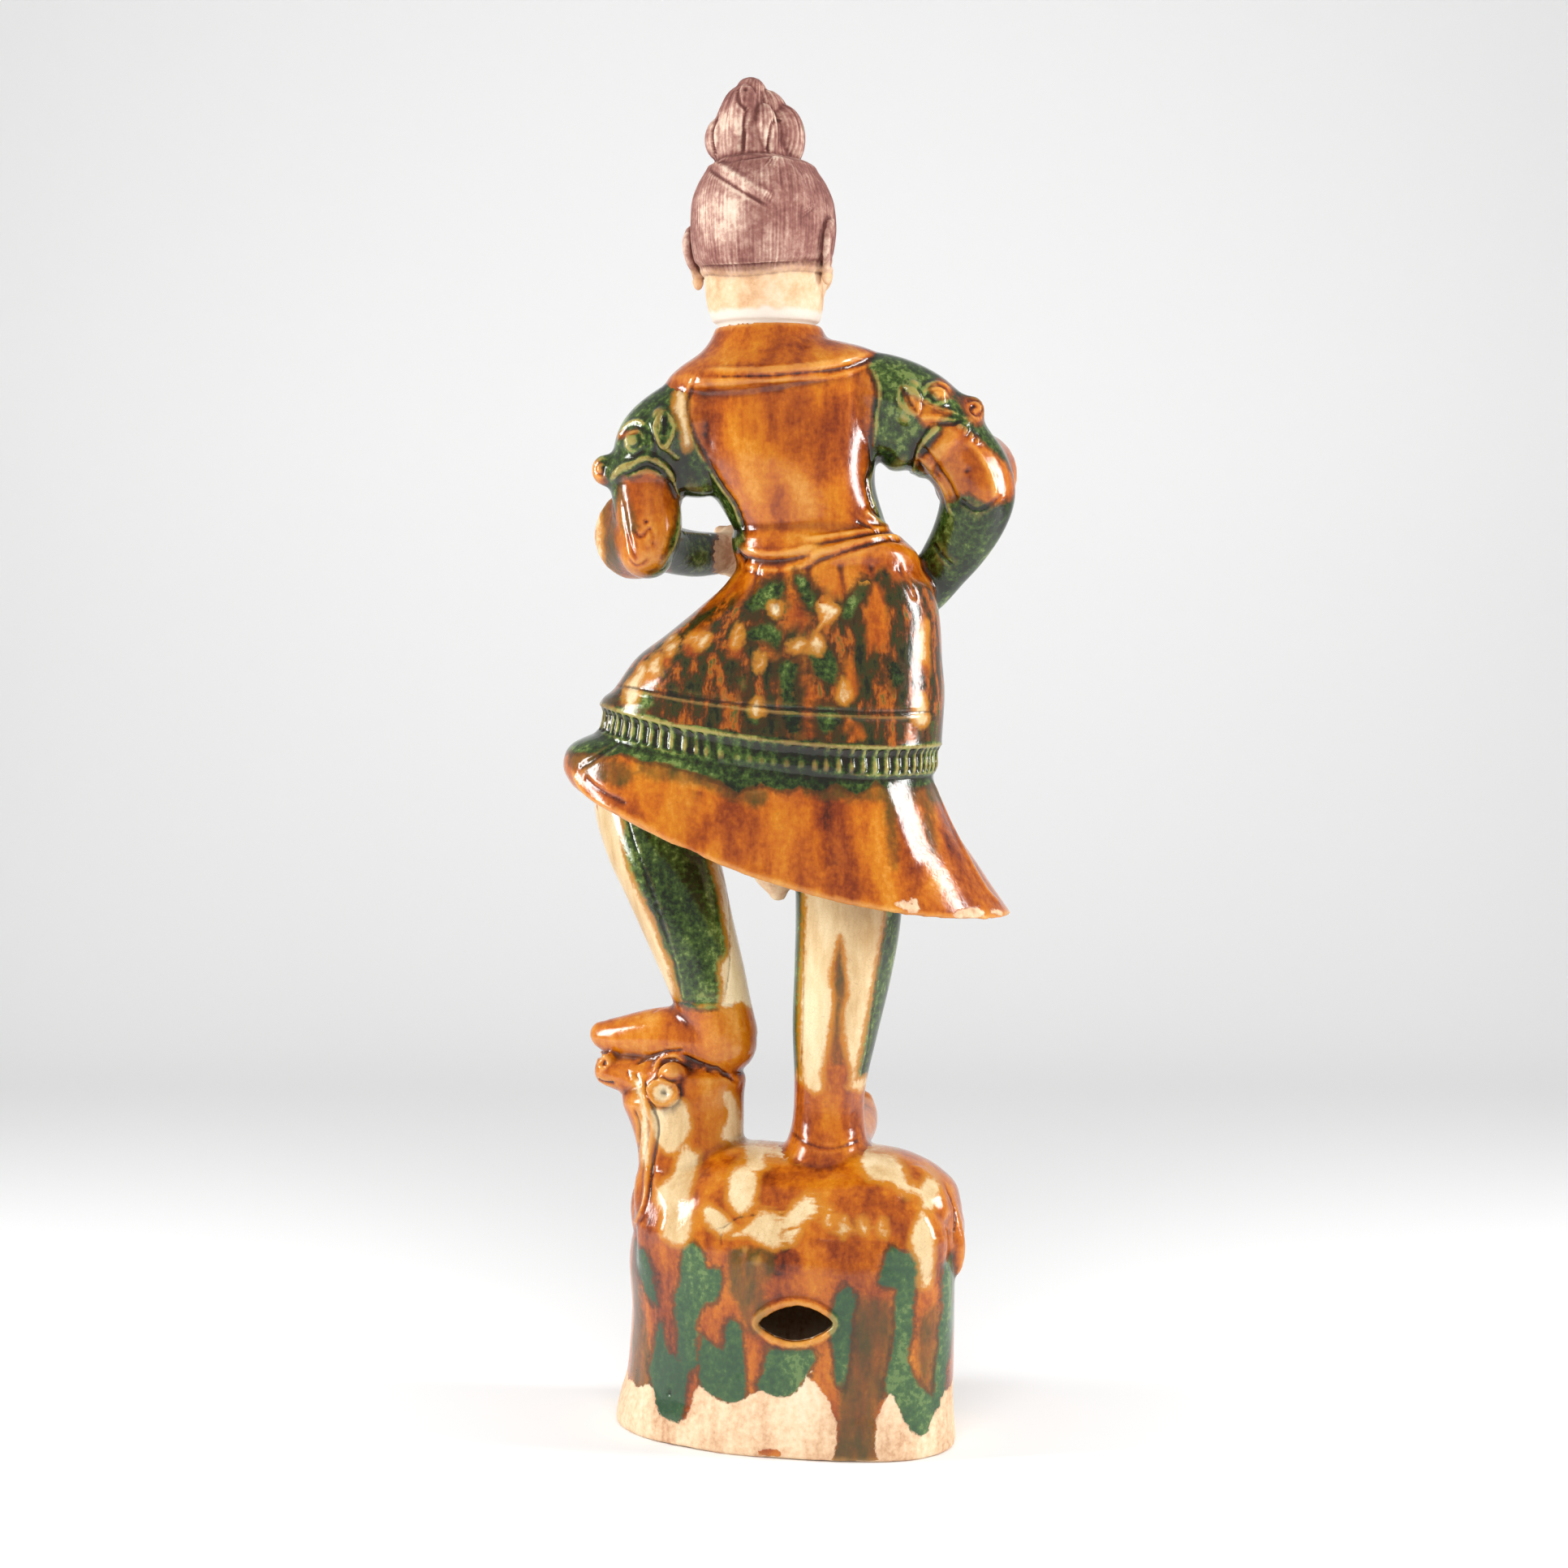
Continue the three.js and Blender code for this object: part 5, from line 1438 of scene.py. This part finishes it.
    gloss = add(tree, "ShaderNodeMapRange", {0: small, 1: 0.3, 2: 0.7, 3: 0.10, 4: 0.19})
    rough = add(tree, "ShaderNodeMapRange", {0: uncoated, 1: 0.0, 2: 1.0, 3: 0.0, 4: 0.7})
    rough = add(tree, "ShaderNodeMath", {0: gloss, 1: rough}, operation="ADD")
    tree.links.new(rough, shader.inputs["Roughness"])
    glaze_skin = add(tree, "ShaderNodeMath", {0: uncoated, 1: -1.0, 2: broad}, operation="MULTIPLY_ADD")
    relief = add(tree, "ShaderNodeMath", {0: small, 1: 0.35, 2: glaze_skin}, operation="MULTIPLY_ADD")
    relief = add(tree, "ShaderNodeMath", {0: grain, 1: 0.05, 2: relief}, operation="MULTIPLY_ADD")
    bump = add(tree, "ShaderNodeBump", {"Strength": 0.7, "Distance": 0.0006, "Height": relief})
    tree.links.new(bump, shader.inputs["Normal"])
    shader.inputs["IOR"].default_value = 1.55
    return material


def slipped_clay():
    """Unglazed head: pinkish cream slip over buff clay, matt and chalky, with purple brown
    pigment worn off the proud parts of the hair and a white plaster seam at the neck."""
    material, tree, shader, place = new_finish("slipped unglazed clay")
    small = add(tree, "ShaderNodeTexNoise", {"Vector": place, "Scale": 260.0, "Detail": 5.0, "Roughness": 0.65})
    broad = add(tree, "ShaderNodeTexNoise", {"Vector": place, "Scale": 42.0, "Detail": 5.0, "Roughness": 0.6})
    grain = add(tree, "ShaderNodeTexNoise", {"Vector": place, "Scale": 1300.0, "Detail": 3.0})
    sunk = add(tree, "ShaderNodeAttribute", out="Fac", attribute_name="crease_shade_and_ridge_highlight")

    skin_tone = add(tree, "ShaderNodeMath", {0: small, 1: 0.35, 2: broad}, operation="MULTIPLY_ADD")
    skin_tone = add(tree, "ShaderNodeValToRGB", {0: skin_tone}, stops=[
        (0.5, "#C79A72"), (0.64, "#DDB68E"), (0.76, "#E6C6A4"), (0.9, "#EBD3B8")])
    worn = add(tree, "ShaderNodeAttribute", out="Fac", attribute_name="worn")
    worn = add(tree, "ShaderNodeMath", {0: broad, 1: 0.9, 2: worn}, operation="MULTIPLY_ADD")
    worn = add(tree, "ShaderNodeMath", {0: sunk, 1: -0.35, 2: worn}, operation="MULTIPLY_ADD")
    worn = add(tree, "ShaderNodeMath", {0: small, 1: 0.5, 2: worn}, operation="MULTIPLY_ADD")
    hair_tone = add(tree, "ShaderNodeValToRGB", {0: worn}, stops=[
        (0.55, "#6E423C"), (0.72, "#8E5F56"), (0.88, "#B18A7C"), (1.0, "#D2B4A0")])
    bleached = add(tree, "ShaderNodeMapRange", {0: worn, 1: 0.98, 2: 1.3})
    hair_tone = add(tree, "ShaderNodeMix", {0: bleached, 6: hair_tone, 7: linear("#E8DAC8")},
                    out=2, data_type="RGBA")
    line = add(tree, "ShaderNodeMapRange", {0: small, 1: 0.0, 2: 1.0, 3: -9.0, 4: 9.0})
    above = add(tree, "ShaderNodeAttribute", out="Fac", attribute_name="hair")
    line = add(tree, "ShaderNodeMath", {0: above, 1: line}, operation="ADD")
    haired = add(tree, "ShaderNodeMapRange", {0: line, 1: -5.0, 2: 6.0})
    colour = add(tree, "ShaderNodeMix", {0: haired, 6: skin_tone, 7: hair_tone}, out=2, data_type="RGBA")
    # Painted shade: the head's creases and hollows darkened
    head_crease_shade = add(tree, "ShaderNodeMapRange", {0: sunk, 1: 0.15, 2: 1.0, 3: 0.0, 4: 0.7})
    colour = add(tree, "ShaderNodeMix", {0: head_crease_shade, 6: colour, 7: linear("#5C3A34")},
                 out=2, data_type="RGBA")
    plaster = add(tree, "ShaderNodeAttribute", out="Fac", attribute_name="plaster")
    colour = add(tree, "ShaderNodeMix", {0: plaster, 6: colour, 7: linear("#DDD6CC")},
                 out=2, data_type="RGBA")
    stray_green = add(tree, "ShaderNodeAttribute", out="Fac", attribute_name="stray_green")
    colour = add(tree, "ShaderNodeMix", {0: stray_green, 6: colour, 7: linear("#5E7048")},
                 out=2, data_type="RGBA")
    tree.links.new(colour, shader.inputs["Base Color"])
    relief = add(tree, "ShaderNodeMath", {0: grain, 1: 0.3, 2: small}, operation="MULTIPLY_ADD")
    bump = add(tree, "ShaderNodeBump", {"Strength": 0.6, "Distance": 0.0005, "Height": relief})
    tree.links.new(bump, shader.inputs["Normal"])
    shader.inputs["Roughness"].default_value = 0.86
    shader.inputs["IOR"].default_value = 1.45
    return material


def head_fields(own, placed):
    """Where pigment, wear, plaster and a stray run of green lie on the head."""
    x, y, z = own.T
    hair = z - hairline(y)
    spots = ((-8, -58, 893, 24), (-18, -30, 962, 13), (6, -14, 958, 8), (12, 6, 966, 8), (-32, 8, 958, 9))
    worn = sum(np.exp(-(((own - np.array(spot[:3])) ** 2).sum(axis=1)) / spot[3] ** 2) for spot in spots)
    plaster = ramp(829 + 2.5 * wander(placed, 9, 4.0) - placed[:, 2], -1.5, 2.5) * 0.85
    east = placed[:, 0] - (-8 + 0.25 * (990 - placed[:, 2]))
    stray = ramp(east + 3 * wander(placed, 7, 1.0), 14, 19) * ramp(placed[:, 2], 952, 962)
    return {"hair": np.clip(hair, -FAR, FAR), "worn": 0.34 * worn, "plaster": plaster, "stray_green": stray}


def place_piece(mesh, name, node_name, finish):
    """A finished mesh, brought from the figure's own millimetres into the frame."""
    mesh.transform(Matrix.Scale(MM, 4) @ Matrix.Translation(Vector(AXIS)))
    mesh.polygons.foreach_set("use_smooth", [True] * len(mesh.polygons))
    mesh.materials.clear()
    mesh.materials.append(finish)
    item = bpy.data.objects.new(name, mesh)
    bpy.context.scene.collection.objects.link(item)
    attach(item, "root")
    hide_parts(node_name)


def make_body():
    parts = body_parts()
    fine = body_mesh(parts)
    skin_ = Surface(fine)
    for carve in (carve_masks, carve_robe, carve_band, carve_skirt, carve_arms, carve_legs,
                  carve_bull, carve_plinth, carve_front):
        carve(skin_)
    skin_.settle()
    crease_shade_and_ridge_highlight = hollows(fine, skin_.points, skin_.normals)
    tree = KDTree(len(skin_.points))
    for number, point in enumerate(skin_.points):
        tree.insert(point, number)
    tree.balance()
    mesh = modified(fine, ("DECIMATE", {"ratio": min(1, BODY_FACES / (2 * len(fine.polygons)))}))
    lighter = Surface(mesh)
    # How sunk or proud each point is, read by the finish for painted shade in creases and a painted highlight on
    # ridges
    keep(mesh, "crease_shade_and_ridge_highlight", [crease_shade_and_ridge_highlight[tree.find(point)[1]] for point in lighter.points])
    for name, values in glaze_fields(lighter.points, parts).items():
        keep(mesh, name, values)
    place_piece(mesh, "fired_figure", "warrior_on_bull", glazed_earthenware())


def make_head():
    mesh, own = head_mesh()
    skin_ = Surface(mesh)
    # How sunk each point is, read by the finish for painted shade in the head's creases
    keep(mesh, "crease_shade_and_ridge_highlight", hollows(mesh, skin_.points, skin_.normals, 2))
    for name, values in head_fields(own, skin_.points).items():
        keep(mesh, name, values)
    place_piece(mesh, "slipped_head", "head", slipped_clay())


# Studio

def studio():
    """A white sweep, a tall soft box at each side and a broad soft light high behind the camera."""
    sweep = bmesh.new()
    bmesh.ops.create_grid(sweep, x_segments=2, y_segments=60, size=1)
    for vert in sweep.verts:
        reach = (vert.co.y + 1) * 3.6 - 3.0
        bend = max(0.0, reach - 1.6)
        turn = min(bend / 0.9, math.pi / 2)
        vert.co = Vector((vert.co.x * 5, min(reach, 1.6) + 0.9 * math.sin(turn),
                          0.9 * (1 - math.cos(turn)) + max(0.0, bend - 0.9 * math.pi / 2)))
    mesh = bpy.data.meshes.new("paper_sweep")
    sweep.to_mesh(mesh)
    sweep.free()
    mesh.polygons.foreach_set("use_smooth", [True] * len(mesh.polygons))
    paper, _, shader, _ = new_finish("white paper")
    shader.inputs["Base Color"].default_value = linear("#F4F4F4")
    shader.inputs["Roughness"].default_value = 0.9
    mesh.materials.append(paper)
    floor = bpy.data.objects.new("paper_sweep", mesh)
    bpy.context.scene.collection.objects.link(floor)
    for name, spot, watts, wide, tall in (("left_box", (-1.6, -0.25, 0.85), 22, 0.32, 1.0),
                                          ("right_box", (1.6, -0.25, 0.85), 22, 0.32, 1.0),
                                          ("fill", (0, -2.9, 2.1), 75, 2.6, 2.2)):
        light = bpy.data.lights.new(name, "AREA")
        light.shape = "RECTANGLE"
        light.size, light.size_y, light.energy = wide, tall, watts
        lamp = bpy.data.objects.new(name, light)
        lamp.location = spot
        lamp.visible_glossy = name != "fill"
        lamp.rotation_euler = (Vector((0, 0, 0.5)) - Vector(spot)).to_track_quat("-Z", "Y").to_euler()
        bpy.context.scene.collection.objects.link(lamp)
    world = bpy.data.worlds.new("white_room")
    world.use_nodes = True
    background = world.node_tree.nodes["Background"]
    background.inputs["Color"].default_value = linear("#FFFFFF")
    background.inputs["Strength"].default_value = 0.42
    bpy.context.scene.world = world


def camera():
    """Behind the figure, level with its tunic, tipped down a little."""
    lens = bpy.data.cameras.new("camera")
    lens.sensor_width = 36
    lens.lens = 65.2
    eye = bpy.data.objects.new("camera", lens)
    eye.location = Vector((AXIS[0], AXIS[1] - 2100, 600)) * MM
    target = Vector((AXIS[0], AXIS[1], 482.7)) * MM
    eye.rotation_euler = (target - eye.location).to_track_quat("-Z", "Y").to_euler()
    bpy.context.scene.collection.objects.link(eye)
    bpy.context.scene.camera = eye
    bpy.context.scene.view_settings.view_transform = "Standard"


make_body()
make_head()
studio()
camera()
